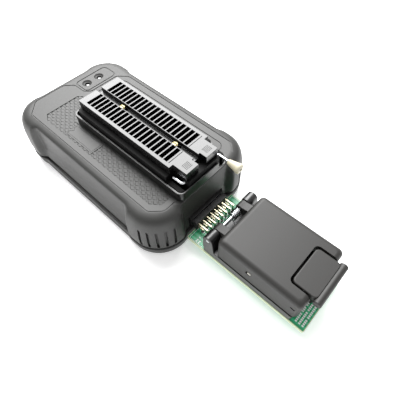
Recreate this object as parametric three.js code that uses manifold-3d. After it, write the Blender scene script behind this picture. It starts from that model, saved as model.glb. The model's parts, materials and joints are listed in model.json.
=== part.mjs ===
// USB microcontroller programmer with a lever socket on top and a plug-in test-socket adapter.
// Millimetres, +Z up. The front port and the adapter face -Y, the USB inlet faces +Y.
// The origin is on the table, under the middle of the whole object's box.

import * as THREE from 'three';
import { mergeVertices } from 'three/addons/utils/BufferGeometryUtils.js';
import Module from 'manifold-3d';

const wasm = await Module();
wasm.setup();

// ---------------------------------------------------------------- driving dimensions

const GAP = 0.3;                    // clearance between pieces that touch

const CASE_WIDTH = 65;
const CASE_FRONT = -22.8;           // the front wall's outermost line
const CASE_REAR = 83;
const CASE_CORNER = 15;             // corner radius seen from above
const CASE_TOP = 27;
const FOOT_HEIGHT = 1;
const SEAM = 6;                     // top of the lower shell
const WALL = 2;

const PITCH = 2.54;                 // contact spacing of every connector here
const ZIF_X = 1;                    // centre line of the lever socket
const ZIF_ROW = 20;                 // contacts on each side
const ZIF_REAR_SLOT = 43.3;         // rear edge of the first slot
const ZIF_SLOT_WIDTH = 2;
const ZIF_SLOT_INNER = 1.7;         // a slot runs from here to ZIF_SLOT_OUTER, either side
const ZIF_SLOT_OUTER = 9.7;
const ZIF_TOP = 39;
const ZIF_PLATE = 4;                // thickness of the sliding top plate
const ZIF_PLATE_HALF = 11.25;
const ZIF_PLATE_REAR = 47.05;
const ZIF_PLATE_FRONT = -9.8;
const ZIF_TONGUE_FRONT = -17;
const ZIF_BASE_HALF = 13.4;
const ZIF_BASE_REAR = 47.4;
const ZIF_BASE_FRONT = -18;
const ZIF_BASE_BOTTOM = 18.9;
const STUD_PLACES = [30.9, -1.9];   // the two brass studs, along Y

const LEVER_AXIS_Y = -15.9;
const LEVER_AXIS_Z = 33.4;
const LEVER_ARM_X = 10.35;          // arm and tail, either side of the socket's centre line
const WIRE_RADIUS = 0.7;

const MAIN_BOARD_Z = 4.4;           // underside; its top meets the seam
const BOARD = 1.6;                  // thickness of every circuit board
const SOCKET_BOARD_Z = 17;

const LAMP_Y = 69;
const LAMP_PLACES = [7.1, 14.7];    // the two lamps, along X

const ADAPTER_X = 0.3;              // centre line of the adapter
const ADAPTER_WIDTH = 31;
const ADAPTER_REAR = -22.6;
const ADAPTER_FRONT = -83;
const BOARD_TOP = MAIN_BOARD_Z + BOARD;
const ROW_Z = [7.6, 10.14];         // lower and upper row of header pins
const HEADER_PINS = 8;
const HEADER_FACE = -21.2;          // the header housing meets the port here

const SOCKET_HALF = 15.3;           // test socket, half its width
const SOCKET_REAR = -31.7;
const SOCKET_FRONT = -76.7;
const SOCKET_RIM = 9.8;             // top of the base's outer wall
const HINGE_Y = -34.2;
const HINGE_Z = 16.2;
const LID_HALF = 15;
const LID_REAR = -38.7;
const LID_FRONT = -77.7;
const LID_TOP = 22.7;
const CHIP_Y = -56;                 // centre of the chip under test
const LATCH_AXIS_Y = -74;
const LATCH_AXIS_Z = 19.4;

// ---------------------------------------------------------------- solids

function solid(geometry) {
  const bare = geometry.index ? geometry.toNonIndexed() : geometry.clone();
  bare.deleteAttribute('normal');
  bare.deleteAttribute('uv');
  const merged = mergeVertices(bare, 1e-4);
  return new wasm.Manifold(new wasm.Mesh({
    numProp: 3,
    vertProperties: new Float32Array(merged.attributes.position.array),
    triVerts: new Uint32Array(merged.index.array),
  }));
}

function toGeometry(manifold) {
  const mesh = manifold.getMesh();
  const geometry = new THREE.BufferGeometry();
  geometry.setAttribute('position', new THREE.BufferAttribute(new Float32Array(mesh.vertProperties), 3));
  geometry.setIndex(new THREE.BufferAttribute(new Uint32Array(mesh.triVerts), 1));
  geometry.computeVertexNormals();
  return geometry;
}

const join = (first, ...rest) => rest.reduce((sum, piece) => sum.add(piece), first);
const cut = (body, ...tools) => tools.reduce((left, tool) => left.subtract(tool), body);

function block(x0, x1, y0, y1, z0, z1) {
  const geometry = new THREE.BoxGeometry(x1 - x0, y1 - y0, z1 - z0);
  geometry.translate((x0 + x1) / 2, (y0 + y1) / 2, (z0 + z1) / 2);
  return solid(geometry);
}

function post(radius, x, y, z0, z1, sides = 20) {
  const geometry = new THREE.CylinderGeometry(radius, radius, z1 - z0, sides);
  geometry.rotateX(Math.PI / 2);
  geometry.translate(x, y, (z0 + z1) / 2);
  return solid(geometry);
}

// Two distances from x to one side of it, in rising order.
function span(x, side, near, far) {
  return side > 0 ? [x + near, x + far] : [x - far, x - near];
}

// A bar along X.
function bar(radius, x0, x1, y, z, sides = 20) {
  const geometry = new THREE.CylinderGeometry(radius, radius, x1 - x0, sides);
  geometry.rotateZ(Math.PI / 2);
  geometry.translate((x0 + x1) / 2, y, z);
  return solid(geometry);
}

function roundedRect(x0, x1, y0, y1, radius) {
  const shape = new THREE.Shape();
  shape.moveTo(x0 + radius, y0);
  shape.lineTo(x1 - radius, y0);
  shape.absarc(x1 - radius, y0 + radius, radius, -Math.PI / 2, 0);
  shape.lineTo(x1, y1 - radius);
  shape.absarc(x1 - radius, y1 - radius, radius, 0, Math.PI / 2);
  shape.lineTo(x0 + radius, y1);
  shape.absarc(x0 + radius, y1 - radius, radius, Math.PI / 2, Math.PI);
  shape.lineTo(x0, y0 + radius);
  shape.absarc(x0 + radius, y0 + radius, radius, Math.PI, 1.5 * Math.PI);
  return shape;
}

function slab(shape, z0, z1, curveSegments = 5) {
  const geometry = new THREE.ExtrudeGeometry(shape, { depth: z1 - z0, bevelEnabled: false, curveSegments });
  geometry.translate(0, 0, z0);
  return solid(geometry);
}

// An outline drawn in the YZ plane, carried along X.
function sideSlab(points, x0, x1) {
  const shape = new THREE.Shape(points.map(([y, z]) => new THREE.Vector2(y, z)));
  const geometry = new THREE.ExtrudeGeometry(shape, { depth: x1 - x0, bevelEnabled: false });
  geometry.applyMatrix4(new THREE.Matrix4().makeBasis(
    new THREE.Vector3(0, 1, 0),
    new THREE.Vector3(0, 0, 1),
    new THREE.Vector3(1, 0, 0),
  ));
  geometry.translate(x0, 0, 0);
  return solid(geometry);
}

// A wire or rod along a path of points.
function wire(points, radius, sides, steps) {
  const section = new THREE.Shape();
  section.absarc(0, 0, radius, 0, 2 * Math.PI);
  const places = points.map((point) => new THREE.Vector3(...point));
  const extrudePath = new THREE.CatmullRomCurve3(places, false, 'centripetal');
  return solid(new THREE.ExtrudeGeometry(section, { steps, extrudePath, curveSegments: sides / 2 }));
}

// Rings of equal length, from the bottom up, joined into one closed skin.
function loft(rings) {
  const count = rings[0].length;
  const positions = rings.flat(2);
  const index = [];
  for (let level = 0; level < rings.length - 1; level += 1) {
    for (let i = 0; i < count; i += 1) {
      const a = level * count + i;
      const b = level * count + (i + 1) % count;
      index.push(a, b, b + count, a, b + count, a + count);
    }
  }
  const flat = (ring) => ring.map(([x, y]) => new THREE.Vector2(x, y));
  for (const [a, b, c] of THREE.ShapeUtils.triangulateShape(flat(rings[0]), [])) {
    index.push(a, c, b);
  }
  const top = (rings.length - 1) * count;
  for (const [a, b, c] of THREE.ShapeUtils.triangulateShape(flat(rings.at(-1)), [])) {
    index.push(top + a, top + b, top + c);
  }
  const geometry = new THREE.BufferGeometry();
  geometry.setAttribute('position', new THREE.BufferAttribute(new Float32Array(positions), 3));
  geometry.setIndex(index);
  return solid(geometry);
}

// ---------------------------------------------------------------- the group

const programmer = new THREE.Group();
programmer.name = 'programmer';

function add(name, manifold, color, roughness, metalness = 0) {
  const material = new THREE.MeshStandardMaterial({ color, roughness, metalness });
  const mesh = new THREE.Mesh(toGeometry(manifold), material);
  mesh.name = name;
  programmer.add(mesh);
}

// ---------------------------------------------------------------- case

// The case seen from above: round corners that stand out as bumpers, and walls set back between
// them. The insets are measured in from the widest outline; the front wall may have one of its own.
function caseRing(bumperInset, wallInset, z, frontInset = wallInset) {
  const middle = (CASE_REAR + CASE_FRONT) / 2;
  const halfWidth = CASE_WIDTH / 2;
  const halfLength = (CASE_REAR - CASE_FRONT) / 2;
  const radius = CASE_CORNER - bumperInset;
  const ring = [];
  const corner = (x, y, startAngle) => {
    const steps = 6;
    for (let i = 0; i <= steps; i += 1) {
      const angle = startAngle + (i / steps) * Math.PI / 2;
      ring.push([x + radius * Math.cos(angle), y + radius * Math.sin(angle), z]);
    }
  };
  // One wall between two corners. place(along, inset) turns it to the side that it belongs to.
  const wall = (half, bumperReach, inner, place) => {
    const start = half - CASE_CORNER - bumperReach;
    for (const [along, share] of [[start, 0], [start - 2, 0.5], [start - 4, 1]]) {
      ring.push([...place(-along, bumperInset + share * (inner - bumperInset)), z]);
    }
    for (const [along, share] of [[start - 4, 1], [start - 2, 0.5], [start, 0]]) {
      ring.push([...place(along, bumperInset + share * (inner - bumperInset)), z]);
    }
  };
  const cornerX = halfWidth - CASE_CORNER;
  const cornerY = halfLength - CASE_CORNER;
  wall(halfLength, 3, wallInset, (along, inset) => [halfWidth - inset, middle + along]);
  corner(cornerX, middle + cornerY, 0);
  wall(halfWidth, 0.5, wallInset, (along, inset) => [-along, CASE_REAR - inset]);
  corner(-cornerX, middle + cornerY, Math.PI / 2);
  wall(halfLength, 3, wallInset, (along, inset) => [-halfWidth + inset, middle - along]);
  corner(-cornerX, middle - cornerY, Math.PI);
  wall(halfWidth, 0.5, frontInset, (along, inset) => [along, CASE_FRONT + inset]);
  corner(cornerX, middle - cornerY, 1.5 * Math.PI);
  return ring;
}

const SCREW_PLACES = [[-24, -12], [24, -12], [-24, 72], [24, 72]];
const CAVITY = { x: 26.6, front: -17.2, rear: 77.2, corner: 9 };

function cavity(grow, z0, z1) {
  const { x, front, rear, corner } = CAVITY;
  const outline = roundedRect(-x - grow, x + grow, front - grow, rear + grow, corner + grow);
  return slab(outline, z0, z1);
}

function makeLowerShell() {
  const outside = loft([
    caseRing(1.9, 2.2, FOOT_HEIGHT),
    caseRing(0.7, 1.1, FOOT_HEIGHT + 0.8),
    caseRing(0.1, 0.7, 3.4),
    caseRing(0.2, 1.4, SEAM),
  ]);
  let shell = cut(outside, cavity(1, 3, SEAM + 1));
  for (const [x, y] of SCREW_PLACES) {
    shell = join(shell, post(3.4, x, y, 2.9, MAIN_BOARD_Z - GAP));
    shell = cut(shell, post(1.6, x, y, 0, SEAM + 1, 16), post(3.1, x, y, 0, 2.4, 16));
  }
  return shell;
}

function makeUpperShell() {
  const outside = loft([
    caseRing(0.2, 1.6, SEAM + GAP),
    caseRing(0, 2.4, 9),
    caseRing(0.1, 3.5, 13),
    caseRing(0.5, 3.6, 19),
    caseRing(1.2, 3.7, 23),
    caseRing(2.2, 3.8, 25, 3.7),
    caseRing(3.3, 4.2, 26, 3.7),
    caseRing(5, 5.2, 26.7, 3.8),
    caseRing(7, 7, CASE_TOP, 4),
  ]);
  let shell = cut(outside, cavity(0, SEAM, CASE_TOP - WALL));
  for (const [x, y] of SCREW_PLACES) {
    const boss = post(2.6, x, y, BOARD_TOP + GAP + 0.2, CASE_TOP - WALL + 0.5, 16);
    shell = cut(join(shell, boss), post(1.2, x, y, SEAM, 16, 12));
  }
  const pill = roundedRect(ZIF_X + 1.6, ZIF_X + 20, LAMP_Y - 5.2, LAMP_Y + 4.3, 2.6);
  const tools = [
    slab(roundedRect(ZIF_X - 13.8, ZIF_X + 13.8, CAVITY.front, 49.4, 2), 18, 30),
    block(ADAPTER_X - 11.3, ADAPTER_X + 11.3, -25, -15, SEAM - 1, 12.6),
    block(-5.2, 5.2, 75, 85, SEAM - 1, 9.7),
    slab(pill, CASE_TOP - 0.4, CASE_TOP + 1),
    ...LAMP_PLACES.map((x) => post(1.3, x, LAMP_Y, 20, 30, 16)),
  ];
  return cut(shell, ...tools);
}

add('lower_shell', makeLowerShell(), 0x3c3d3b, 0.6);
add('upper_shell', makeUpperShell(), 0x4a4b48, 0.55);

for (const [end, y] of [['front', -2], ['rear', 62]]) {
  for (const [side, x] of [['left', -19], ['right', 19]]) {
    add(`foot_${end}_${side}`, post(4, x, y, 0, FOOT_HEIGHT - 0.1, 20), 0x202020, 0.9);
  }
}

SCREW_PLACES.forEach(([x, y], i) => {
  const head = post(2.7, x, y, 1, 2.3, 16);
  const shank = post(1, x, y, 2.2, 14, 12);
  const recess = join(
    block(x - 1.6, x + 1.6, y - 0.3, y + 0.3, 0, 1.6),
    block(x - 0.3, x + 0.3, y - 1.6, y + 1.6, 0, 1.6),
  );
  add(`case_screw_${i + 1}`, cut(join(head, shank), recess), 0x8d8f92, 0.35, 1);
});

// ---------------------------------------------------------------- electronics

function makeMainBoard() {
  const outline = roundedRect(
    -CAVITY.x + GAP,
    CAVITY.x - GAP,
    CAVITY.front + GAP,
    CAVITY.rear - GAP,
    CAVITY.corner,
  );
  const holes = SCREW_PLACES.map(([x, y]) => post(1.5, x, y, 0, 10, 12));
  return cut(slab(outline, MAIN_BOARD_Z, BOARD_TOP), ...holes);
}

add('main_board', makeMainBoard(), 0x1f6b45, 0.5);
const socketBoard = slab(roundedRect(-20, 20, -14.5, 60, 2), SOCKET_BOARD_Z, SOCKET_BOARD_Z + BOARD);
add('socket_board', socketBoard, 0x1f6b45, 0.5);

for (const [side, x] of [['left', -16.5], ['right', 16.5]]) {
  const strip = block(x - 1.25, x + 1.25, 8, 50, BOARD_TOP + GAP, SOCKET_BOARD_Z - GAP);
  add(`board_link_${side}`, strip, 0x181818, 0.6);
}

const onBoard = (x0, x1, y0, y1, height) => block(x0, x1, y0, y1, BOARD_TOP + GAP, BOARD_TOP + GAP + height);
add('processor', onBoard(-7, 7, 36, 50, 1.4), 0x1b1b1c, 0.45);
add('logic_chip', onBoard(-8, 8, 12, 28, 1.4), 0x1b1b1c, 0.45);
add('inductor', onBoard(8.5, 14.5, 59, 65, 4.5), 0x2b2b2b, 0.7);
add('crystal', onBoard(-4.5, 4.5, 55, 58.5, 3), 0xb8b9ba, 0.3, 1);
for (const [end, y] of [['front', 56.5], ['rear', 63.5]]) {
  add(`capacitor_${end}`, post(2.9, -10.5, y, BOARD_TOP + GAP, 13, 20), 0x9a9da1, 0.35, 1);
}

// The USB inlet is a flat oval metal shell with a tongue inside, its mouth just inside the rear wall.
const USB_Z = BOARD_TOP + GAP + 1.65;
function ovalAlongY(width, height, y0, y1) {
  const shape = roundedRect(-width / 2, width / 2, -height / 2, height / 2, height / 2 - 0.02);
  const settings = { depth: y1 - y0, bevelEnabled: false, curveSegments: 5 };
  const geometry = new THREE.ExtrudeGeometry(shape, settings);
  geometry.rotateX(Math.PI / 2);
  geometry.translate(0, y1, USB_Z);
  return solid(geometry);
}
const usbShell = cut(ovalAlongY(8.9, 3.2, 72.5, 80), ovalAlongY(8.3, 2.6, 73.3, 81));
add('usb_inlet', usbShell, 0xb5b7b9, 0.3, 1);
add('usb_tongue', block(-3.3, 3.3, 73.6, 79.2, USB_Z - 0.35, USB_Z + 0.35), 0x151515, 0.5);

LAMP_PLACES.forEach((x, i) => {
  const chip = block(x - 0.8, x + 0.8, LAMP_Y - 1.6, LAMP_Y + 1.6, BOARD_TOP + GAP, BOARD_TOP + 1.4);
  const pipe = join(post(1, x, LAMP_Y, 8, 26, 16), post(1.9, x, LAMP_Y, 23, 24.7, 16));
  add(`lamp_chip_${i + 1}`, chip, 0xe8e2b8, 0.4);
  add(`light_pipe_${i + 1}`, pipe, 0xd8dcdc, 0.15);
});

const pinX = (i) => ADAPTER_X + (i - (HEADER_PINS - 1) / 2) * PITCH;

function makePortSocket() {
  const middleZ = (ROW_Z[0] + ROW_Z[1]) / 2;
  const half = (HEADER_PINS * PITCH) / 2 + 0.4;
  const [left, right] = [ADAPTER_X - half, ADAPTER_X + half];
  const body = block(left, right, HEADER_FACE + GAP, -12.4, BOARD_TOP + GAP, middleZ + 2.9);
  const mouths = [];
  for (const z of ROW_Z) {
    for (let i = 0; i < HEADER_PINS; i += 1) {
      const x = pinX(i);
      mouths.push(block(x - 0.6, x + 0.6, HEADER_FACE - 1, -13.4, z - 0.6, z + 0.6));
    }
  }
  return cut(body, ...mouths);
}
add('port_socket', makePortSocket(), 0x161616, 0.5);

// ---------------------------------------------------------------- lever socket

function makeZifFrame() {
  const outline = roundedRect(ZIF_X - 14.6, ZIF_X + 14.6, -18.9, 50.2, 2.8);
  const ring = slab(outline, CASE_TOP + GAP, 32);
  const opening = slab(roundedRect(ZIF_X - 13.75, ZIF_X + 13.75, -18.3, 49.4, 2), 20, 40);
  const leverGap = block(ZIF_X + 8.2, ZIF_X + 15, -22, -10, 28.4, 40);
  return cut(ring, opening, leverGap);
}

function makeZifBase() {
  const x = ZIF_X;
  const [left, right] = [x - ZIF_BASE_HALF, x + ZIF_BASE_HALF];
  const top = ZIF_TOP - ZIF_PLATE - GAP;
  const rowFront = ZIF_REAR_SLOT - ZIF_ROW * PITCH;
  const upper = roundedRect(left, right, ZIF_BASE_FRONT, ZIF_BASE_REAR, 2);
  const lower = roundedRect(left, right, CAVITY.front + GAP, ZIF_BASE_REAR, 2);
  const body = join(slab(upper, CASE_TOP + GAP, top), slab(lower, ZIF_BASE_BOTTOM, CASE_TOP + 1));
  const tools = [];
  for (const side of [-1, 1]) {
    const [inner, outer] = span(x, side, ZIF_SLOT_INNER, ZIF_SLOT_OUTER);
    tools.push(block(inner, outer, rowFront - 0.8, ZIF_REAR_SLOT + 0.8, 24, 40));
    // the front corners step down, and the wire turns in a slot in each of them
    const [ledgeInner, ledgeOuter] = span(x, side, 9.4, 15);
    tools.push(block(ledgeInner, ledgeOuter, -20, -9.6, 32, 40));
    const armX = x + side * LEVER_ARM_X;
    tools.push(block(armX - 1.1, armX + 1.1, -20, -9.6, 26.8, 40));
  }
  const armSpan = [x - LEVER_ARM_X, x + LEVER_ARM_X];
  tools.push(bar(WIRE_RADIUS + 0.2, ...armSpan, LEVER_AXIS_Y, LEVER_AXIS_Z, 16));
  tools.push(...STUD_PLACES.map((y) => post(1.1, x, y, 28, 40, 12)));
  return cut(body, ...tools);
}

function makeTopPlate() {
  const x = ZIF_X;
  const bottom = ZIF_TOP - ZIF_PLATE;
  const half = ZIF_PLATE_HALF;
  const plate = block(x - half, x + half, ZIF_PLATE_FRONT, ZIF_PLATE_REAR, bottom, ZIF_TOP);
  const tongue = block(x - 9.1, x + 9.1, ZIF_TONGUE_FRONT, ZIF_PLATE_FRONT + 1, bottom, ZIF_TOP);
  const tools = [
    block(x - 1.4, x + 1.4, -20, 50, bottom + 1.6, 40),
    block(x - 2.3, x + 2.3, -20, -13.45, bottom - 1, 40),
  ];
  for (const y of STUD_PLACES) {
    tools.push(block(x - 1.2, x + 1.2, y - 2.6, y + 1.4, bottom - 1, 40));
  }
  for (const side of [-1, 1]) {
    const [inner, outer] = span(x, side, ZIF_SLOT_INNER, ZIF_SLOT_OUTER);
    for (let i = 0; i < ZIF_ROW; i += 1) {
      const rear = ZIF_REAR_SLOT - i * PITCH;
      tools.push(block(inner, outer, rear - ZIF_SLOT_WIDTH, rear, bottom - 1, 40));
    }
  }
  return cut(join(plate, tongue), ...tools);
}

function makeContactComb(side) {
  const x = ZIF_X + side * (ZIF_SLOT_INNER + ZIF_SLOT_OUTER) / 2;
  const rowFront = ZIF_REAR_SLOT - ZIF_ROW * PITCH;
  const fingers = [];
  for (let i = 0; i < ZIF_ROW; i += 1) {
    const y = ZIF_REAR_SLOT - ZIF_SLOT_WIDTH / 2 - i * PITCH;
    fingers.push(block(x - 2.2, x + 2.2, y - 0.25, y + 0.25, 25.5, 34.2));
  }
  return join(block(x - 3.4, x + 3.4, rowFront, ZIF_REAR_SLOT, 24.3, 26), ...fingers);
}

function makeStud(y) {
  const floor = ZIF_TOP - ZIF_PLATE + 1.6;
  const shank = post(0.8, ZIF_X, y, 28.3, floor + 0.5, 12);
  const head = post(1.3, ZIF_X, y, floor + GAP, floor + 1.3, 16);
  return join(shank, head);
}

add('zif_frame', makeZifFrame(), 0x121212, 0.5);
add('zif_base', makeZifBase(), 0x0d0d0d, 0.45);
add('zif_top_plate', makeTopPlate(), 0x151515, 0.35);
add('contact_comb_left', makeContactComb(-1), 0xb08d45, 0.4, 1);
add('contact_comb_right', makeContactComb(1), 0xb08d45, 0.4, 1);
add('zif_stud_rear', makeStud(STUD_PLACES[0]), 0xb9a46a, 0.35, 1);
add('zif_stud_front', makeStud(STUD_PLACES[1]), 0xb9a46a, 0.35, 1);

// One bent steel wire: a tail on the left, the cross shaft through the base, and the arm on the right.
function makeLeverWire() {
  const left = ZIF_X - LEVER_ARM_X;
  const right = ZIF_X + LEVER_ARM_X;
  const bend = 0.9;
  const points = [
    [left, LEVER_AXIS_Y + 5, LEVER_AXIS_Z],
    [left, LEVER_AXIS_Y + 2, LEVER_AXIS_Z],
    [left, LEVER_AXIS_Y + bend, LEVER_AXIS_Z],
    [left + bend, LEVER_AXIS_Y, LEVER_AXIS_Z],
    [left + 2, LEVER_AXIS_Y, LEVER_AXIS_Z],
    [right - 2, LEVER_AXIS_Y, LEVER_AXIS_Z],
    [right - bend, LEVER_AXIS_Y, LEVER_AXIS_Z],
    [right, LEVER_AXIS_Y - bend, LEVER_AXIS_Z],
    [right, LEVER_AXIS_Y - 2, LEVER_AXIS_Z],
    [right, LEVER_AXIS_Y - 8, LEVER_AXIS_Z],
  ];
  return wire(points, WIRE_RADIUS, 8, 26);
}

function makeLeverKnob() {
  const profile = [[0, 0], [1.05, 0], [1.2, 0.5], [2.3, 5], [2.35, 6], [1.9, 6.5], [0, 6.5]];
  const geometry = new THREE.LatheGeometry(profile.map(([r, y]) => new THREE.Vector2(r, y)), 20);
  geometry.rotateX(Math.PI);
  geometry.translate(ZIF_X + LEVER_ARM_X, LEVER_AXIS_Y - 6, LEVER_AXIS_Z);
  const hole = new THREE.CylinderGeometry(WIRE_RADIUS + 0.15, WIRE_RADIUS + 0.15, 4, 12);
  hole.translate(ZIF_X + LEVER_ARM_X, LEVER_AXIS_Y - 6.5, LEVER_AXIS_Z);
  return cut(solid(geometry), solid(hole));
}

add('lever_wire', makeLeverWire(), 0xc9cbcd, 0.2, 1);
add('lever_knob', makeLeverKnob(), 0xefead2, 0.45);

// ---------------------------------------------------------------- adapter board and its header

const PIN_DROP = [-26.2, -28.74];   // where each row turns down into the board
const PIN_HALF = 0.32;
const [SCREW_LEFT, SCREW_RIGHT] = [ADAPTER_X - 11.6, ADAPTER_X + 11.6];
const SOCKET_SCREWS = [[SCREW_LEFT, -44], [SCREW_RIGHT, -44], [SCREW_LEFT, -68], [SCREW_RIGHT, -68]];

function makeAdapterBoard() {
  const half = ADAPTER_WIDTH / 2;
  const outline = roundedRect(ADAPTER_X - half, ADAPTER_X + half, ADAPTER_FRONT, ADAPTER_REAR, 0.8);
  const holes = [];
  for (const y of PIN_DROP) {
    for (let i = 0; i < HEADER_PINS; i += 1) {
      holes.push(post(0.65, pinX(i), y, 0, 10, 6));
    }
  }
  for (const [x, y] of SOCKET_SCREWS) {
    holes.push(post(1.2, x, y, 0, 10, 12));
  }
  return cut(slab(outline, MAIN_BOARD_Z, BOARD_TOP), ...holes);
}

// Eight pins of one row, tied by a thin strip inside the housing.
function makePinRow(row) {
  const z = ROW_Z[row];
  const tieFront = HEADER_FACE - 1.7;
  const [z0, z1] = [z - PIN_HALF, z + PIN_HALF];
  const tie = block(pinX(0) - 0.5, pinX(HEADER_PINS - 1) + 0.5, tieFront, tieFront + 0.9, z0, z1);
  const pins = [];
  for (let i = 0; i < HEADER_PINS; i += 1) {
    const [x0, x1] = [pinX(i) - PIN_HALF, pinX(i) + PIN_HALF];
    const [front, rear] = [PIN_DROP[row] - PIN_HALF, PIN_DROP[row] + PIN_HALF];
    pins.push(block(x0, x1, front, HEADER_FACE + 6, z0, z1));
    pins.push(block(x0, x1, front, rear, MAIN_BOARD_Z - 1.2, z1));
  }
  return join(tie, ...pins);
}

function makeHeaderHousing() {
  const half = (HEADER_PINS * PITCH) / 2;
  const [left, right] = [ADAPTER_X - half, ADAPTER_X + half];
  const middleZ = (ROW_Z[0] + ROW_Z[1]) / 2;
  const body = block(left, right, HEADER_FACE - PITCH, HEADER_FACE, middleZ - PITCH, middleZ + PITCH);
  const tools = [];
  for (const z of ROW_Z) {
    const [first, last] = [pinX(0) - 0.8, pinX(HEADER_PINS - 1) + 0.8];
    tools.push(block(first, last, HEADER_FACE - 2, HEADER_FACE - 0.5, z - 0.55, z + 0.55));
    for (let i = 0; i < HEADER_PINS; i += 1) {
      const x = pinX(i);
      tools.push(block(x - 0.5, x + 0.5, HEADER_FACE - 4, HEADER_FACE + 1, z - 0.5, z + 0.5));
    }
  }
  return cut(body, ...tools);
}

add('adapter_board', makeAdapterBoard(), 0x1d8a57, 0.4);
add('header_housing', makeHeaderHousing(), 0x151515, 0.5);
add('pin_row_lower', makePinRow(0), 0xd6bd7a, 0.25, 1);
add('pin_row_upper', makePinRow(1), 0xd6bd7a, 0.25, 1);

// ---------------------------------------------------------------- test socket on the adapter

// The outline of an ear round the hinge, in the YZ plane, standing on the level z0.
function earOutline(radius, front, z0) {
  const points = [[front, z0]];
  for (let i = 0; i <= 8; i += 1) {
    const angle = (i / 8) * Math.PI;
    points.push([HINGE_Y - radius * Math.cos(angle), HINGE_Z + radius * Math.sin(angle)]);
  }
  points.push([HINGE_Y + radius, z0]);
  return points;
}

function makeSocketBase() {
  const x = ADAPTER_X;
  const bottom = BOARD_TOP + GAP;
  const outline = roundedRect(x - SOCKET_HALF, x + SOCKET_HALF, SOCKET_FRONT, SOCKET_REAR, 1);
  let base = slab(outline, bottom, SOCKET_RIM, 2);
  for (const side of [-1, 1]) {
    const [x0, x1] = span(x, side, 9.8, SOCKET_HALF);
    base = join(base, sideSlab(earOutline(2.5, -38, SOCKET_RIM - 1).reverse(), x0, x1));
  }
  base = join(base, block(x - 10.5, x + 10.5, CHIP_Y - 12, CHIP_Y + 12, bottom, 13.2));
  const tools = [
    block(x - 8, x + 8, CHIP_Y - 9, CHIP_Y + 9, bottom - 1, 20),
    block(x - 9.8, x + 9.8, SOCKET_REAR - 5.6, SOCKET_REAR + 1, 8.6, 20),
    bar(1.05, x - 20, x + 20, HINGE_Y, HINGE_Z, 20),
    ...SOCKET_SCREWS.map(([sx, sy]) => post(0.9, sx, sy, 0, 9.5, 10)),
  ];
  return cut(base, ...tools);
}

function makeContactBlock() {
  const x = ADAPTER_X;
  const body = join(
    block(x - 7.7, x + 7.7, CHIP_Y - 8.7, CHIP_Y + 8.7, BOARD_TOP + GAP, 11),
    block(x - 5, x + 5, CHIP_Y - 5.8, CHIP_Y + 5.8, 10, 11.9),
  );
  return body;
}

// The guide that the chip drops into, floating over the contact block.
function makeChipNest() {
  const x = ADAPTER_X;
  const body = join(
    slab(roundedRect(x - 7.6, x + 7.6, CHIP_Y - 8.6, CHIP_Y + 8.6, 0.6), 12.6, 15, 2),
    block(x - 9.6, x + 9.6, CHIP_Y - 2, CHIP_Y + 2, 14, 15.2),
  );
  return cut(body, block(x - 5.9, x + 5.9, CHIP_Y - 6.6, CHIP_Y + 6.6, 10, 20));
}

function makeLid() {
  const x = ADAPTER_X;
  const half = LID_HALF;
  const level = (inset, z) => {
    const sides = [x - half + inset, x + half - inset];
    const shape = roundedRect(...sides, LID_FRONT + inset, LID_REAR - inset, 2);
    return shape.getPoints(4).slice(0, -1).map(({ x: px, y: py }) => [px, py, z]);
  };
  let lid = loft([
    level(0, SOCKET_RIM + GAP),
    level(0.1, LID_TOP - 2.8),
    level(0.8, LID_TOP - 1),
    level(2.4, LID_TOP),
  ]);
  const wall = 1.8;
  const inside = roundedRect(x - half + wall, x + half - wall, LID_FRONT + wall, LID_REAR - wall, 1);
  lid = cut(lid, slab(inside, 9, 19));
  // a boss under the roof for the pressure pad
  const boss = cut(
    block(x - 7.2, x + 7.2, CHIP_Y - 8.2, CHIP_Y + 8.2, 17.4, 20),
    block(x - 6, x + 6, CHIP_Y - 7, CHIP_Y + 7, 10, 19.4),
  );
  lid = join(lid, boss);
  for (const side of [-1, 1]) {
    const [x0, x1] = span(x, side, 5.6, 9.5);
    const arm = [
      [LID_REAR - 1, 13.4],
      [LID_REAR - 1, 19.2],
      [HINGE_Y - 1, HINGE_Z + 2.3],
      [HINGE_Y + 1.2, HINGE_Z + 1.9],
      [HINGE_Y + 2.3, HINGE_Z],
      [HINGE_Y + 1.2, HINGE_Z - 1.9],
      [HINGE_Y - 1, HINGE_Z - 2.3],
    ];
    lid = join(lid, sideSlab(arm, x0, x1));
  }
  const tools = [
    bar(1.05, x - 20, x + 20, HINGE_Y, HINGE_Z, 20),
    // the rounded notch that holds the latch
    slab(roundedRect(x - 9.7, x + 9.7, -90, -68, 2), 5, 30, 4),
    bar(0.8, x - 13.5, x + 13.5, LATCH_AXIS_Y, LATCH_AXIS_Z, 12),
    block(x - half - 1, x - half + 3, -55.6, -53.6, 15.6, 17.4),
    block(x - half - 1, x - half + 1.2, -75.6, -74, 16.4, 17.2),
  ];
  // cheeks close the notch's sides, inside the lid, and carry the latch pin
  for (const side of [-1, 1]) {
    const [x0, x1] = span(x, side, 9.8, 13.3);
    lid = join(lid, block(x0, x1, -77, -71, 16.5, 21));
  }
  // a shelf under the notch seats the latch spring
  const shelf = join(
    block(x - 3, x + 3, -72.4, -65.2, 14.6, 15.9),
    block(x - 3, x + 3, -67.9, -65.2, 15.5, 19.5),
  );
  return join(cut(lid, ...tools), shelf);
}

function makePressurePad() {
  const x = ADAPTER_X;
  return join(
    block(x - 5.6, x + 5.6, CHIP_Y - 6.4, CHIP_Y + 6.4, 14.2, 17.8),
    block(x - 5.7, x + 5.7, CHIP_Y - 6.7, CHIP_Y + 6.7, 17.2, 18.4),
  );
}

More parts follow.
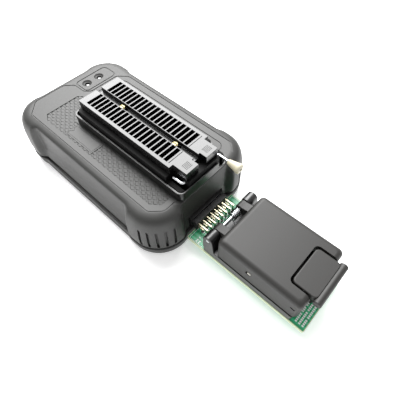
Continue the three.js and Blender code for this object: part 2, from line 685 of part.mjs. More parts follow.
// A latch plate flush with the lid, a roll to pull on, and a hook that reaches down to the base.
function makeLatch() {
  const x = ADAPTER_X;
  const plate = slab(roundedRect(x - 8.9, x + 8.9, -78.6, -68.9, 1.8), 20.4, LID_TOP, 3);
  const roll = bar(1.75, x - 9.9, x + 9.9, -80.3, 21, 20);
  const bridge = block(x - 8.6, x + 8.6, -80.3, -78, 19.9, 21.8);
  const boss = bar(2.1, x - 8.4, x + 8.4, LATCH_AXIS_Y, LATCH_AXIS_Z, 16);
  const hook = [[-79.2, 6.9], [-76.95, 6.9], [-76.95, 8.2], [-77.95, 9.2], [-77.95, 21], [-79.2, 21]];
  const arm = sideSlab(hook, x - 4.6, x + 4.6);
  const pinHole = bar(0.8, x - 20, x + 20, LATCH_AXIS_Y, LATCH_AXIS_Z, 12);
  return cut(join(plate, roll, bridge, boss, arm), pinHole);
}

// A coil round the hinge rod between the lid's arms, with a leg to the base and a leg to the lid.
function makeLidSpring() {
  const turns = 5;
  const radius = 1.75;
  const start = 0.5;
  const length = 4.2;
  const points = [[ADAPTER_X + start, HINGE_Y - 3.6, HINGE_Z - radius - 2.2]];
  const count = turns * 8;
  for (let i = 0; i <= count; i += 1) {
    const angle = -Math.PI / 2 + (i / count) * turns * 2 * Math.PI;
    points.push([
      ADAPTER_X + start + (i / count) * length,
      HINGE_Y - radius * Math.cos(angle),
      HINGE_Z + radius * Math.sin(angle),
    ]);
  }
  return wire(points, 0.3, 6, count + 2);
}

function makeLatchSpring() {
  const turns = 3.5;
  const radius = 1.1;
  const points = [];
  const count = turns * 8;
  for (let i = 0; i <= count; i += 1) {
    const angle = (i / count) * turns * 2 * Math.PI;
    points.push([
      ADAPTER_X + radius * Math.cos(angle),
      -70.3 + radius * Math.sin(angle),
      16.2 + (i / count) * 3.6,
    ]);
  }
  return wire(points, 0.22, 6, count);
}

add('socket_base', makeSocketBase(), 0x1b1b1a, 0.5);
add('contact_block', makeContactBlock(), 0x2a2520, 0.5);
add('chip_nest', makeChipNest(), 0x24241f, 0.5);
add('lid_shell', makeLid(), 0x2b2b29, 0.5);
add('pressure_pad', makePressurePad(), 0x8f9294, 0.4, 1);
const hingeRod = bar(0.95, ADAPTER_X - 15.2, ADAPTER_X + 15.2, HINGE_Y, HINGE_Z, 20);
add('hinge_rod', hingeRod, 0xc9cbcd, 0.2, 1);
add('lid_spring', makeLidSpring(), 0xb4b7ba, 0.25, 1);
add('latch', makeLatch(), 0x2b2b29, 0.5);
const latchPin = bar(0.6, ADAPTER_X - 13, ADAPTER_X + 13, LATCH_AXIS_Y, LATCH_AXIS_Z, 12);
add('latch_pin', latchPin, 0xc9cbcd, 0.25, 1);
add('latch_spring', makeLatchSpring(), 0xb4b7ba, 0.25, 1);
SOCKET_SCREWS.forEach(([x, y], i) => {
  const head = post(1.9, x, y, MAIN_BOARD_Z - 1.3, MAIN_BOARD_Z - GAP, 16);
  add(`socket_screw_${i + 1}`, join(head, post(0.7, x, y, MAIN_BOARD_Z - 0.5, 9, 10)), 0x8d8f92, 0.35, 1);
});

export default programmer;
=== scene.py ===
# %% [markdown]
# # A bench chip programmer, dressed round its CAD model
#
# The CAD model gives every sub-part its size, its place and its joints. This lesson keeps that model
# as a fixed frame and gives each part the look of the real one: moulded plastic with soft edges, an
# engraved cover, a lever socket, a green adapter board and a clamshell test socket.
# The first cell loads the frame.

# %% Load the frame
import json
import math

import bpy
from mathutils import Matrix, Vector

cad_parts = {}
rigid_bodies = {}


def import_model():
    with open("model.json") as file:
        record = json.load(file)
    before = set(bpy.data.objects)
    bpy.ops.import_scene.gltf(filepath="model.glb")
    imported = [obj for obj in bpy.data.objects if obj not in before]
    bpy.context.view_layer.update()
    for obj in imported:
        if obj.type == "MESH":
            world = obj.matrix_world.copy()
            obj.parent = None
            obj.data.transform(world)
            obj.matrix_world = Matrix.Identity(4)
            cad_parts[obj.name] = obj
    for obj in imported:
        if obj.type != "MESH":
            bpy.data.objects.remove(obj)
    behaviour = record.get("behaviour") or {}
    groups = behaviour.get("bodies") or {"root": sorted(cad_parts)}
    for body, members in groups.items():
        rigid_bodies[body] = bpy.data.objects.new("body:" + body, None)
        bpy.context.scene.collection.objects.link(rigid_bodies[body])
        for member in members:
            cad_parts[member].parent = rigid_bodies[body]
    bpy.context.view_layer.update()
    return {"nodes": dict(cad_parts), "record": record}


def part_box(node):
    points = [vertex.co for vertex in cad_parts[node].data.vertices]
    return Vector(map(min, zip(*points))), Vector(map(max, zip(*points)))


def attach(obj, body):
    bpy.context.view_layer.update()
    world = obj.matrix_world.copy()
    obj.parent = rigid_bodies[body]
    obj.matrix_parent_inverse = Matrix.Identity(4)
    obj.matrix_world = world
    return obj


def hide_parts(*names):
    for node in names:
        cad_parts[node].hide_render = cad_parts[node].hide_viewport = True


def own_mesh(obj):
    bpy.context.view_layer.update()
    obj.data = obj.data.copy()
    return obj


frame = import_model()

record = frame["record"]
BODY_OF = {node: body for body, nodes in record["behaviour"]["bodies"].items() for node in nodes}
SLOT_OF = {part["node"]: part["material_slot"] for part in record["subparts"]}
JOINTS = {joint["name"]: joint for joint in record["behaviour"]["joints"]}

# %% [markdown]
# ## Camera
#
# A desk camera looks down on the programmer from its front left corner, close enough that the near
# adapter looks larger than the far end of the case. A camera's place is a matrix: its columns are the
# camera's right, its up, its back and where it stands.

# %% The camera
CAMERA_RIGHT = (0.6724, -0.7402, 0.0016)
CAMERA_UP = (0.6169, 0.5616, 0.5513)
CAMERA_BACK = (-0.4090, -0.3697, 0.8343)
CAMERA_PLACE = (-0.06282, -0.07336, 0.14037)

camera_data = bpy.data.cameras.new("desk_camera")
camera_data.lens = 30.53
camera_data.sensor_width = 36
camera_data.clip_start = 0.005
camera = bpy.data.objects.new("desk_camera", camera_data)
bpy.context.scene.collection.objects.link(camera)
columns = [CAMERA_RIGHT, CAMERA_UP, CAMERA_BACK, CAMERA_PLACE]
camera.matrix_world = Matrix([[column[row] for column in columns] for row in range(3)] + [[0, 0, 0, 1]])
bpy.context.scene.camera = camera
print("camera stands", round(Vector(CAMERA_PLACE).length * 1000), "mm from the object's foot")

# %% [markdown]
# ## Small tools for modelling
#
# Every piece below is made as by hand: a primitive at its size and place, then bevels, cuts and
# joins. Sizes are in millimetres, because that is how such parts are drawn, and Blender's unit is the
# metre, so each helper multiplies by MM. The helpers also leave every object at the origin, with its
# place in its mesh, as the CAD parts are.

# %% Selecting, placing and applying
MM = 0.001


def pick(*objects):
    """Selects only these objects; the first is the active one."""
    if bpy.context.object and bpy.context.object.mode != "OBJECT":
        bpy.ops.object.mode_set(mode="OBJECT")
    bpy.ops.object.select_all(action="DESELECT")
    for obj in objects:
        obj.select_set(True)
    bpy.context.view_layer.objects.active = objects[0]


def settle(name):
    """Names the new object and moves its place, turn and size into its mesh."""
    obj = bpy.context.object
    obj.name = obj.data.name = name
    pick(obj)
    bpy.ops.object.transform_apply(location=True, rotation=True, scale=True)
    return obj


def modify(obj, kind, **settings):
    """Adds a modifier with these settings and applies it."""
    modifier = obj.modifiers.new(kind.lower(), kind)
    for key, value in settings.items():
        setattr(modifier, key, value)
    pick(obj)
    bpy.ops.object.modifier_apply(modifier=modifier.name)
    return obj


def mm_box(node):
    """x0, x1, y0, y1, z0, z1 of a CAD node, in millimetres."""
    low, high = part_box(node)
    return [corner[axis] / MM for axis in range(3) for corner in (low, high)]


def middle_of(node, axis):
    """The middle of a CAD node along one axis, in millimetres."""
    return sum(mm_box(node)[2 * axis : 2 * axis + 2]) / 2


def pivot(joint):
    """Y and Z of a hinge's axis, in millimetres."""
    return [value / MM for value in JOINTS[joint]["pos_m"][1:]]


# %% Primitives at their place
def block(name, x0, x1, y0, y1, z0, z1):
    """A cube primitive between two corners."""
    middle = Vector((x0 + x1, y0 + y1, z0 + z1)) * (MM / 2)
    size = Vector((x1 - x0, y1 - y0, z1 - z0)) * MM
    bpy.ops.mesh.primitive_cube_add(size=1, location=middle, scale=size)
    return settle(name)


def rod(name, radius, start, end, sides=24):
    """A cylinder primitive from one point to another."""
    a, b = Vector(start) * MM, Vector(end) * MM
    turn = (b - a).to_track_quat("Z", "Y").to_euler()
    bpy.ops.mesh.primitive_cylinder_add(
        vertices=sides, radius=radius * MM, depth=(b - a).length, location=(a + b) / 2, rotation=turn
    )
    return settle(name)


def prism(name, outline, z0, z1):
    """A filled circle primitive, its corners moved to an outline, then extruded upwards."""
    bpy.ops.mesh.primitive_circle_add(vertices=len(outline), radius=MM, fill_type="NGON")
    obj = settle(name)
    for vertex, (x, y) in zip(obj.data.vertices, outline):
        vertex.co = Vector((x, y, z0)) * MM
    bpy.ops.object.mode_set(mode="EDIT")
    bpy.ops.mesh.select_all(action="SELECT")
    bpy.ops.mesh.extrude_region_move(TRANSFORM_OT_translate={"value": (0, 0, (z1 - z0) * MM)})
    bpy.ops.mesh.select_all(action="SELECT")
    bpy.ops.mesh.normals_make_consistent(inside=False)
    bpy.ops.object.mode_set(mode="OBJECT")
    return obj


def wrapped(name, rings):
    """A grid primitive wrapped round closed rings of equal length, from the bottom up, with both ends
    filled. It is how a case with a changing outline is lofted."""
    count = len(rings[0])
    bpy.ops.mesh.primitive_grid_add(x_subdivisions=count, y_subdivisions=len(rings) - 1, size=1)
    obj = settle(name)
    for index, vertex in enumerate(obj.data.vertices):
        level, place = divmod(index, count + 1)
        vertex.co = Vector(rings[level][place % count]) * MM
    return merge(obj)


def merge(obj):
    """Merges doubled corners, fills any open ring that is left, and turns all faces outwards."""
    pick(obj)
    bpy.ops.object.mode_set(mode="EDIT")
    bpy.ops.mesh.select_mode(type="EDGE")
    bpy.ops.mesh.select_all(action="SELECT")
    bpy.ops.mesh.remove_doubles(threshold=1e-6)
    bpy.ops.mesh.select_all(action="DESELECT")
    bpy.ops.mesh.select_non_manifold(use_non_contiguous=False, use_multi_face=False, use_verts=False)
    bpy.ops.mesh.fill_holes(sides=0)
    bpy.ops.mesh.select_all(action="SELECT")
    bpy.ops.mesh.normals_make_consistent(inside=False)
    bpy.ops.mesh.select_mode(type="VERT")
    bpy.ops.object.mode_set(mode="OBJECT")
    return obj


# %% Outlines
def rounded(x0, x1, y0, y1, radius, steps=6):
    """The outline of a rectangle with round corners."""
    outline = []
    corners = [(x1, y1, 0), (x0, y1, 90), (x0, y0, 180), (x1, y0, 270)]
    for x, y, start in corners:
        cx = x - radius if x == x1 else x + radius
        cy = y - radius if y == y1 else y + radius
        for step in range(steps + 1):
            angle = math.radians(start + 90 * step / steps)
            outline.append((cx + radius * math.cos(angle), cy + radius * math.sin(angle)))
    return outline


def to_side(x, side, near, far):
    """From near to far along X, on the right of x if side is 1 and on its left if side is -1."""
    return (x + near, x + far) if side > 0 else (x - far, x - near)


# %% Wires and tubes
def rounded_path(corners, radius, steps=4):
    """A path through corners, each corner eased by a short curve."""
    path = [Vector(corners[0])]
    for before, corner, after in zip(corners, corners[1:], corners[2:]):
        corner = Vector(corner)
        to_before, to_after = Vector(before) - corner, Vector(after) - corner
        reach = min(radius, to_before.length / 2.1, to_after.length / 2.1)
        a = corner + to_before.normalized() * reach
        b = corner + to_after.normalized() * reach
        for step in range(steps + 1):
            share = step / steps
            path.append(a.lerp(corner, share).lerp(corner.lerp(b, share), share))
    return path + [Vector(corners[-1])]


def tube(name, points, radius, closed=False, resolution=4, ease=0):
    """A path primitive with a round section, its bends eased, made a closed mesh."""
    path = rounded_path(points, ease) if ease else points
    bpy.ops.curve.primitive_nurbs_path_add()
    obj = bpy.context.object
    curve = obj.data
    curve.splines.clear()
    line = curve.splines.new("POLY")
    line.points.add(len(path) - 1)
    for place, point in zip(line.points, path):
        place.co = [*(Vector(point) * MM), 1]
    line.use_cyclic_u = closed
    curve.bevel_depth = radius * MM
    curve.bevel_resolution = resolution
    curve.use_fill_caps = True
    pick(obj)
    bpy.ops.object.convert(target="MESH")
    return merge(settle(name))


def turned(name, line, centre, axis, steps=40):
    """Half an outline of (radius, along) points, spun once round its axis through centre."""
    side = Vector((0, 0, 1)) if abs(axis[2]) < 0.5 else Vector((1, 0, 0))
    bpy.ops.mesh.primitive_circle_add(vertices=len(line), radius=MM, fill_type="NOTHING")
    obj = settle(name)
    for vertex, (radius, along) in zip(obj.data.vertices, line):
        vertex.co = (Vector(centre) + side * radius + Vector(axis) * along) * MM
    bpy.ops.object.mode_set(mode="EDIT")
    bpy.ops.mesh.select_all(action="SELECT")
    bpy.ops.mesh.spin(steps=steps, angle=math.tau, center=Vector(centre) * MM, axis=axis)
    bpy.ops.object.mode_set(mode="OBJECT")
    return merge(obj)


# %% Joining, carving, rounding and shading
def as_one(objects):
    """Joins objects into the first, without changing their shapes."""
    pick(*objects)
    if len(objects) > 1:
        bpy.ops.object.join()
    return objects[0]


def joined(name, objects):
    """Joins objects into one named piece."""
    piece = as_one(objects)
    piece.name = piece.data.name = name
    return piece


def copy_at(obj, x, y):
    """A copy of an object, moved along X and Y in its mesh."""
    copy = obj.copy()
    copy.data = obj.data.copy()
    copy.data.transform(Matrix.Translation((x * MM, y * MM, 0)))
    bpy.context.scene.collection.objects.link(copy)
    return copy


def combine(obj, operation, tools):
    """One exact boolean of obj with all the tools together."""
    tool = as_one(list(tools))
    modify(obj, "BOOLEAN", operation=operation, solver="EXACT", object=tool, use_self=len(tools) > 1)
    bpy.data.objects.remove(tool)
    return obj


def carve(obj, *tools):
    return combine(obj, "DIFFERENCE", tools)


def weld(obj, *parts):
    return combine(obj, "UNION", parts)


def soften(obj, width, segments=2, angle=35):
    """Rounds every edge sharper than the angle."""
    return modify(
        obj, "BEVEL", width=width * MM, segments=segments, limit_method="ANGLE",
        angle_limit=math.radians(angle), use_clamp_overlap=True, miter_outer="MITER_ARC",
    )


def shade(obj, angle=35):
    pick(obj)
    bpy.ops.object.shade_smooth_by_angle(angle=math.radians(angle))
    modify(obj, "WEIGHTED_NORMAL", mode="FACE_AREA", weight=50, keep_sharp=True)
    return obj


def from_cad(node, name):
    """A copy of a CAD node, its loose triangles merged and its flat faces made whole, to add edges to."""
    obj = frame["nodes"][node].copy()
    obj.data = frame["nodes"][node].data.copy()
    bpy.context.scene.collection.objects.link(obj)
    world = obj.matrix_world.copy()
    obj.parent = None
    obj.matrix_world = world
    obj.name = obj.data.name = name
    for key in list(obj.keys()):
        del obj[key]
    obj.hide_render = False
    obj.hide_viewport = False
    obj.hide_set(False)
    pick(obj)
    bpy.ops.object.transform_apply(location=True, rotation=True, scale=True)
    bpy.ops.object.mode_set(mode="EDIT")
    bpy.ops.mesh.select_all(action="SELECT")
    bpy.ops.mesh.remove_doubles(threshold=1e-6)
    bpy.ops.mesh.dissolve_limited(angle_limit=math.radians(1))
    bpy.ops.mesh.normals_make_consistent(inside=False)
    bpy.ops.object.mode_set(mode="OBJECT")
    return obj


# %% Handing a piece over to the frame
made = []


def stands_for(obj, material, *nodes):
    """The piece replaces these CAD nodes, on their body and with the given material."""
    goes_with(obj, material, nodes[0])
    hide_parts(*nodes)
    return obj


def goes_with(obj, material, node):
    """An added piece on the body of a CAD node, with the given material."""
    obj.data.materials.clear()
    obj.data.materials.append(material)
    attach(obj, BODY_OF[node])
    made.append(obj.name)
    return obj


def dressed(node, name, material, width, segments=2, angle=35):
    """A copy of a CAD node with its edges rounded, standing for that node."""
    piece = soften(from_cad(node, name), width, segments)
    return stands_for(shade(piece, angle), material, node)


# %% [markdown]
# ## Materials
#
# Each finish is one short function, named for the real material and how its surface was made.
# Colours are written as sRGB hex, as a paint chart gives them, and one function turns them to the
# linear values that a shader adds up. One helper adds a node with its settings and links.

# %% Colours and nodes
def linear(code):
    """An sRGB hex colour as linear RGBA."""
    values = [int(code[i : i + 2], 16) / 255 for i in (1, 3, 5)]
    return [v / 12.92 if v <= 0.04045 else ((v + 0.055) / 1.055) ** 2.4 for v in values] + [1]


def add_node(tree, kind, links=(), **values):
    """Adds a node. values are properties or input values; links are (input, socket) pairs."""
    item = tree.nodes.new(kind)
    for key, value in values.items():
        label = key.replace("_", " ")
        if hasattr(item, key):
            setattr(item, key, value)
        else:
            item.inputs[label].default_value = value
    for target, source in links:
        tree.links.new(item.inputs[target], source)
    return item


def finish(name, color, roughness, metallic=0, ior=1.5, **extra):
    """A material with its Principled shader set, and the shader node itself."""
    material = bpy.data.materials.new(name)
    material.use_nodes = True
    shader = material.node_tree.nodes["Principled BSDF"]
    shader.inputs["Base Color"].default_value = linear(color)
    shader.inputs["Roughness"].default_value = roughness
    shader.inputs["Metallic"].default_value = metallic
    shader.inputs["IOR"].default_value = ior
    for key, value in extra.items():
        shader.inputs[key.replace("_", " ")].default_value = value
    return material, shader


def grained(material, shader, grain_mm, depth_mm, shades=(), roughness=()):
    """Adds a noise grain: a bump of that depth, and if given, two hex shades and two roughnesses."""
    tree = material.node_tree
    place = add_node(tree, "ShaderNodeTexCoord")
    noise = add_node(
        tree, "ShaderNodeTexNoise", [("Vector", place.outputs["Object"])],
        Scale=1 / (grain_mm * MM), Detail=3.0,
    )
    bump = add_node(
        tree, "ShaderNodeBump", [("Height", noise.outputs["Fac"])], Strength=1.0, Distance=depth_mm * MM
    )
    tree.links.new(shader.inputs["Normal"], bump.outputs["Normal"])
    if shades:
        ramp = add_node(tree, "ShaderNodeValToRGB", [("Fac", noise.outputs["Fac"])])
        ramp.color_ramp.elements[0].position = 0.3
        ramp.color_ramp.elements[1].position = 0.7
        for element, code in zip(ramp.color_ramp.elements, shades):
            element.color = linear(code)
        tree.links.new(shader.inputs["Base Color"], ramp.outputs["Color"])
    if roughness:
        spread = add_node(
            tree, "ShaderNodeMapRange", [("Value", noise.outputs["Fac"])],
            To_Min=roughness[0], To_Max=roughness[1],
        )
        tree.links.new(shader.inputs["Roughness"], spread.outputs["Result"])
    return material


# %% [markdown]
# The case is ABS from a spark-eroded mould: a fine even grain that breaks a reflection up, so that a
# nearly black plastic looks mid grey where it faces the light. The grain of such a mould is near
# 0.1 mm; it is drawn at 0.35 mm, because a finer one would not show.

# %% Moulded plastics
def case_abs():
    made_of, shader = finish("moulded_abs_spark_eroded", "#20201e", 0.5, ior=1.53)
    return grained(made_of, shader, 0.35, 0.012, ("#1e1e1c", "#252523"), (0.45, 0.55))


def frame_abs():
    """The socket's collar is the same resin from a polished mould, so its rim shows a bright line."""
    made_of, shader = finish("moulded_abs_polished", "#0c0c0c", 0.3, ior=1.53)
    return grained(made_of, shader, 1.5, 0.004)


def socket_pps():
    """PPS takes a hard satin skin: a clear highlight on flat faces, black in every slot."""
    made_of, shader = finish("moulded_pps_satin", "#070707", 0.27, ior=1.6)
    return grained(made_of, shader, 0.5, 0.004, (), (0.24, 0.32))


def shaded_base_pps():
    """Black PPS, matt from a rough mould; its black is deepened and its reflection turned down to 0.15 as
    painted shade, so the base stays black as if in shadow.
    """
    made_of, shader = finish("moulded_pps_black_painted_shade", "#040404", 0.6, ior=1.5, Specular_IOR_Level=0.15)
    return grained(made_of, shader, 0.5, 0.004)


def test_socket_pei():
    """Glass-filled PEI is brown grey and a little rough, because fibres lie just under the skin."""
    made_of, shader = finish("moulded_pei_glass_filled", "#1e1d1b", 0.53, ior=1.6, Specular_IOR_Level=0.4)
    return grained(made_of, shader, 0.3, 0.01, ("#1b1a18", "#21201e"), (0.47, 0.59))


def base_pei():
    """The test socket's base is the same resin in black, from a smoother mould."""
    made_of, shader = finish("moulded_pei_black", "#0b0b0b", 0.34, ior=1.63)
    return grained(made_of, shader, 0.4, 0.004)


def header_nylon():
    made_of, shader = finish("moulded_nylon_black", "#141414", 0.45, ior=1.53)
    return grained(made_of, shader, 0.4, 0.004)


def knob_abs():
    made_of, shader = finish("moulded_abs_cream", "#b9b39c", 0.35, ior=1.53, Subsurface_Weight=0.1)
    shader.inputs["Subsurface Radius"].default_value = (0.001, 0.001, 0.0007)
    return grained(made_of, shader, 0.8, 0.003)


def foot_rubber():
    """Moulded rubber is matt and slightly dusty."""
    made_of, shader = finish("moulded_rubber_matt", "#171717", 0.85, ior=1.52)
    return grained(made_of, shader, 0.4, 0.02, ("#141414", "#1e1e1d"))


def lens_acrylic():
    """A smoked acrylic light pipe: dark and very glossy, with one sharp highlight."""
    made_of, shader = finish("cast_acrylic_smoked", "#1a1b1c", 0.06, ior=1.49, Coat_Weight=1.0)
    return grained(made_of, shader, 2.0, 0.001)


def chip_epoxy():
    made_of, shader = finish("moulded_epoxy_matt", "#1c1c1d", 0.6, ior=1.55)
    return grained(made_of, shader, 0.2, 0.004)


# %% [markdown]
# Metals keep Blender's default IOR, since their colour sets how they reflect. What tells them apart is
# the hue and how fine the drawing or plating marks are.

# %% Metals
def drawn_steel():
    made_of, shader = finish("drawn_steel_wire_bright", "#d3d5d8", 0.16, 1)
    return grained(made_of, shader, 0.3, 0.001, (), (0.12, 0.22))


def nickel_plate():
    made_of, shader = finish("nickel_plated_steel", "#b9b6ad", 0.3, 1)
    return grained(made_of, shader, 0.3, 0.002, (), (0.25, 0.36))


def turned_brass():
    made_of, shader = finish("turned_brass", "#8c8462", 0.35, 1)
    return grained(made_of, shader, 0.2, 0.001)


def shaded_spring_bronze():
    # bronze darkened well below its own colour: painted shade for the deep slots that the contacts sit in
    made_of, shader = finish("stamped_bronze_painted_shade", "#4a3a24", 0.45, 1)
    return grained(made_of, shader, 0.3, 0.001)


def gold_flash():
    made_of, shader = finish("gold_flashed_pins", "#bdb59c", 0.3, 1)
    return grained(made_of, shader, 0.3, 0.001)


def drawn_aluminium():
    made_of, shader = finish("drawn_aluminium", "#c9cbcd", 0.35, 1)
    return grained(made_of, shader, 0.3, 0.002)


def tin_solder():
    made_of, shader = finish("reflowed_tin_solder", "#8d8f90", 0.35, 1)
    return grained(made_of, shader, 0.6, 0.006)


# %% [markdown]
# A circuit board is glass epoxy under a green lacquer. The lacquer is glossy and lies a little higher
# over the copper tracks, which show as lighter green bands. Real tracks are often under a millimetre
# apart; these are drawn about 2 mm apart, because finer ones would not show. Two brick textures, one
# for each direction, would repeat too plainly, so one wave texture is broken up by its own distortion.

# %% Circuit boards and ink
def green_board():
    made_of, shader = finish("fr4_green_solder_mask", "#229a64", 0.3, ior=1.55)
    tree = made_of.node_tree
    # a wave texture has a band every pi / 10 units, so this scale draws one about every 2.1 mm
    place = add_node(tree, "ShaderNodeTexCoord")
    tracks = add_node(
        tree, "ShaderNodeTexWave", [("Vector", place.outputs["Object"])], bands_direction="X",
        Scale=0.15 / MM, Distortion=3.0, Detail=1.0, Detail_Scale=0.6,
    )
    ramp = add_node(tree, "ShaderNodeValToRGB", [("Fac", tracks.outputs["Fac"])])
    ramp.color_ramp.elements[0].position = 0.5
    ramp.color_ramp.elements[0].color = linear("#229a64")
    ramp.color_ramp.elements[1].position = 0.58
    ramp.color_ramp.elements[1].color = linear("#42bb86")
    bump = add_node(
        tree, "ShaderNodeBump", [("Height", ramp.outputs["Color"])], Strength=0.6, Distance=0.02 * MM
    )
    tree.links.new(shader.inputs["Base Color"], ramp.outputs["Color"])
    tree.links.new(shader.inputs["Normal"], bump.outputs["Normal"])
    return made_of


def white_ink():
    """Screen-printed epoxy ink, slightly thin where the mesh lifted."""
    made_of, shader = finish("screen_printed_ink", "#e9ece8", 0.55, ior=1.5)
    return grained(made_of, shader, 0.25, 0.004, ("#eef2ee", "#fbfcfa"))


CASE = case_abs()
COLLAR = frame_abs()
PPS = socket_pps()
BASE_PPS_PAINTED_SHADE = shaded_base_pps()
PEI = test_socket_pei()
BASE_PEI = base_pei()
NYLON = header_nylon()
KNOB = knob_abs()
RUBBER = foot_rubber()
LENS = lens_acrylic()
EPOXY = chip_epoxy()
STEEL = drawn_steel()
NICKEL = nickel_plate()
BRASS = turned_brass()
BRONZE_PAINTED_SHADE = shaded_spring_bronze()
GOLD = gold_flash()
ALUMINIUM = drawn_aluminium()
SOLDER = tin_solder()
BOARD = green_board()
INK = white_ink()
print(len(bpy.data.materials), "materials so far")

# %% [markdown]
# Every CAD part first takes the finish that goes with its material slot. The ones that no piece below
# stands for, such as the boards inside the case, stay as they are and keep it.

# %% Finishes for the parts that stay
BY_SLOT = {
    "case_plastic": CASE,
    "foot_rubber": RUBBER,
    "plated_steel": NICKEL,
    "board_laminate": BOARD,
    "black_plastic": NYLON,
    "chip_epoxy": EPOXY,
    "can_aluminium": ALUMINIUM,
    "lens": LENS,
    # the contacts take the bronze that is darkened as painted shade
    "contact_bronze": BRONZE_PAINTED_SHADE,
    "brass": BRASS,
    "bright_steel": STEEL,
    "knob_plastic": KNOB,
    "pin_gold": GOLD,
    "socket_plastic": PEI,
}
for node, obj in frame["nodes"].items():
    obj.data.materials.clear()
    obj.data.materials.append(BY_SLOT[SLOT_OF[node]])

# %% [markdown]
# ## The case
#
# Seen from above, the case has round corners that stand out as bumpers, and walls between them that
# are set back along a soft S curve. That outline changes with height, so each half is lofted: one
# closed outline for each level, with a sheet of faces wrapped round them all.

# %% The outline of one level
_, CASE_X1, CASE_Y0, CASE_Y1, SEAM_Z, TOP_Z = mm_box("upper_shell")
CASE_MIDDLE = (CASE_Y0 + CASE_Y1) / 2
CORNER = 15
SIDE_REACH = 3
END_REACH = 0.5
CURVE = 4


def wall_points(half, reach, bumper, inner):
    """Along one wall: out of a bumper, set back through an S curve, and into the next bumper."""
    start = half - CORNER - reach
    points = []
    for step in range(9):
        share = step / 8
        points.append((start - CURVE * share, bumper + (inner - bumper) * share * share * (3 - 2 * share)))
    return [(-along, inset) for along, inset in points] + points[::-1]


def case_level(bumper, wall, z, front=None):
    """The closed outline at height z, with the bumpers and walls set in by these amounts."""
    middle = CASE_MIDDLE
    half_x, half_y = CASE_X1, (CASE_Y1 - CASE_Y0) / 2
    sides = [
        (half_y, SIDE_REACH, wall, lambda along, inset: (half_x - inset, middle + along)),
        (half_x, END_REACH, wall, lambda along, inset: (-along, CASE_Y1 - inset)),
        (half_y, SIDE_REACH, wall, lambda along, inset: (-half_x + inset, middle - along)),
        (half_x, END_REACH, wall if front is None else front, lambda along, inset: (along, CASE_Y0 + inset)),
    ]
    corner_x, corner_y = half_x - CORNER, half_y - CORNER
    corners = [(corner_x, corner_y), (-corner_x, corner_y), (-corner_x, -corner_y), (corner_x, -corner_y)]
    ring = []
    for quarter, ((half, reach, inner, place), (cx, cy)) in enumerate(zip(sides, corners)):
        ring += [(*place(along, inset), z) for along, inset in wall_points(half, reach, bumper, inner)]
        for step in range(13):
            angle = math.radians(90 * (quarter + step / 12))
            radius = CORNER - bumper
            ring.append((cx + radius * math.cos(angle), middle + cy + radius * math.sin(angle), z))
    return ring


def radial_slots(z0, z1, depth=1.4, width=1.15):
    """Five thin cutters round each corner, for the grip slots of the bumpers."""
    cutters = []
    for sx, sy, start in ((1, 1, 0), (-1, 1, 90), (-1, -1, 180), (1, -1, 270)):
        cx = sx * (CASE_X1 - CORNER)
        cy = CASE_MIDDLE + sy * ((CASE_Y1 - CASE_Y0) / 2 - CORNER)
        for step in range(-2, 3):
            angle = math.radians(start + 45 + 15 * step)
            cutter = block("slot", CORNER - depth, CORNER + 3, -width / 2, width / 2, z0, z1)
            cutter.data.transform(Matrix.Translation((cx * MM, cy * MM, 0)) @ Matrix.Rotation(angle, 4, "Z"))
            cutters.append(cutter)
    return cutters


# %% [markdown]
# The top cover is one shell, open below. After the loft it is hollowed with the same room that the
# boards need, and every opening is carved: the window of the lever socket, the port in the front, the
# inlet in the rear and the two lamp holes. The engraved lines are thin round wires carved out of the
# top, half sunk, because that leaves a groove with soft shadow on one side and light on the other.

# %% Loft and hollow the top cover
upper_shell = wrapped("case_cover", [
    case_level(1.3, 2.9, SEAM_Z),
    case_level(1.2, 2.8, SEAM_Z + 0.3),
    case_level(0.4, 2.4, SEAM_Z + 0.6),
    case_level(0.15, 2.5, 9),
    case_level(0.0, 3.0, 11.5),
    case_level(0.1, 3.5, 13.5),
    case_level(0.3, 3.55, 17),
    case_level(0.6, 3.6, 20),
    case_level(1.2, 3.7, 22.8, 3.65),
    case_level(1.8, 3.75, 24.3, 3.7),
    case_level(2.6, 3.85, 25.4, 3.72),
    case_level(3.3, 4.1, 25.95, 3.75),
    case_level(4.3, 4.6, 26.45, 3.8),
    case_level(5.6, 5.7, 26.8, 3.85),
    case_level(7.0, 7.0, TOP_Z, 4.1),
])
ROOM_X, ROOM_Y0, ROOM_Y1, ROOM_CORNER, ROOF = 26.6, -17.2, 77.2, 9, 2
room = prism("room", rounded(-ROOM_X, ROOM_X, ROOM_Y0, ROOM_Y1, ROOM_CORNER), SEAM_Z - 1, TOP_Z - ROOF)
carve(upper_shell, room)
carve(upper_shell, *radial_slots(8, 20))
print("cover:", len(upper_shell.data.vertices), "vertices after hollowing")

# %% Screw bosses, windows and lamp holes
SCREWS = [(-24, -12), (24, -12), (-24, 72), (24, 72)]
BOSS, BORE, BORE_TOP, LAMP_HOLE = 2.6, 1.2, 16, 1.3
WINDOW_HALF, WINDOW_REAR = 13.8, 49.4
PORT_HALF, PORT_TOP = 11.3, 12.6
INLET_HALF, INLET_TOP = 5.2, 9.7
socket_x = middle_of("zif_base", 0)
adapter_x = middle_of("adapter_board", 0)
lamp_x = [middle_of(f"light_pipe_{i}", 0) for i in (1, 2)]
lamp_y = middle_of("light_pipe_1", 1)
weld(upper_shell, *[rod("boss", BOSS, (x, y, 6.5), (x, y, TOP_Z - ROOF + 0.5)) for x, y in SCREWS])
carve(upper_shell, *[rod("bore", BORE, (x, y, 6), (x, y, BORE_TOP), 16) for x, y in SCREWS])
window_line = rounded(socket_x - WINDOW_HALF, socket_x + WINDOW_HALF, ROOM_Y0, WINDOW_REAR, 2)
window = prism("window", window_line, 18, 30)
port = block("port", adapter_x - PORT_HALF, adapter_x + PORT_HALF, -25, -15, SEAM_Z - 1, PORT_TOP)
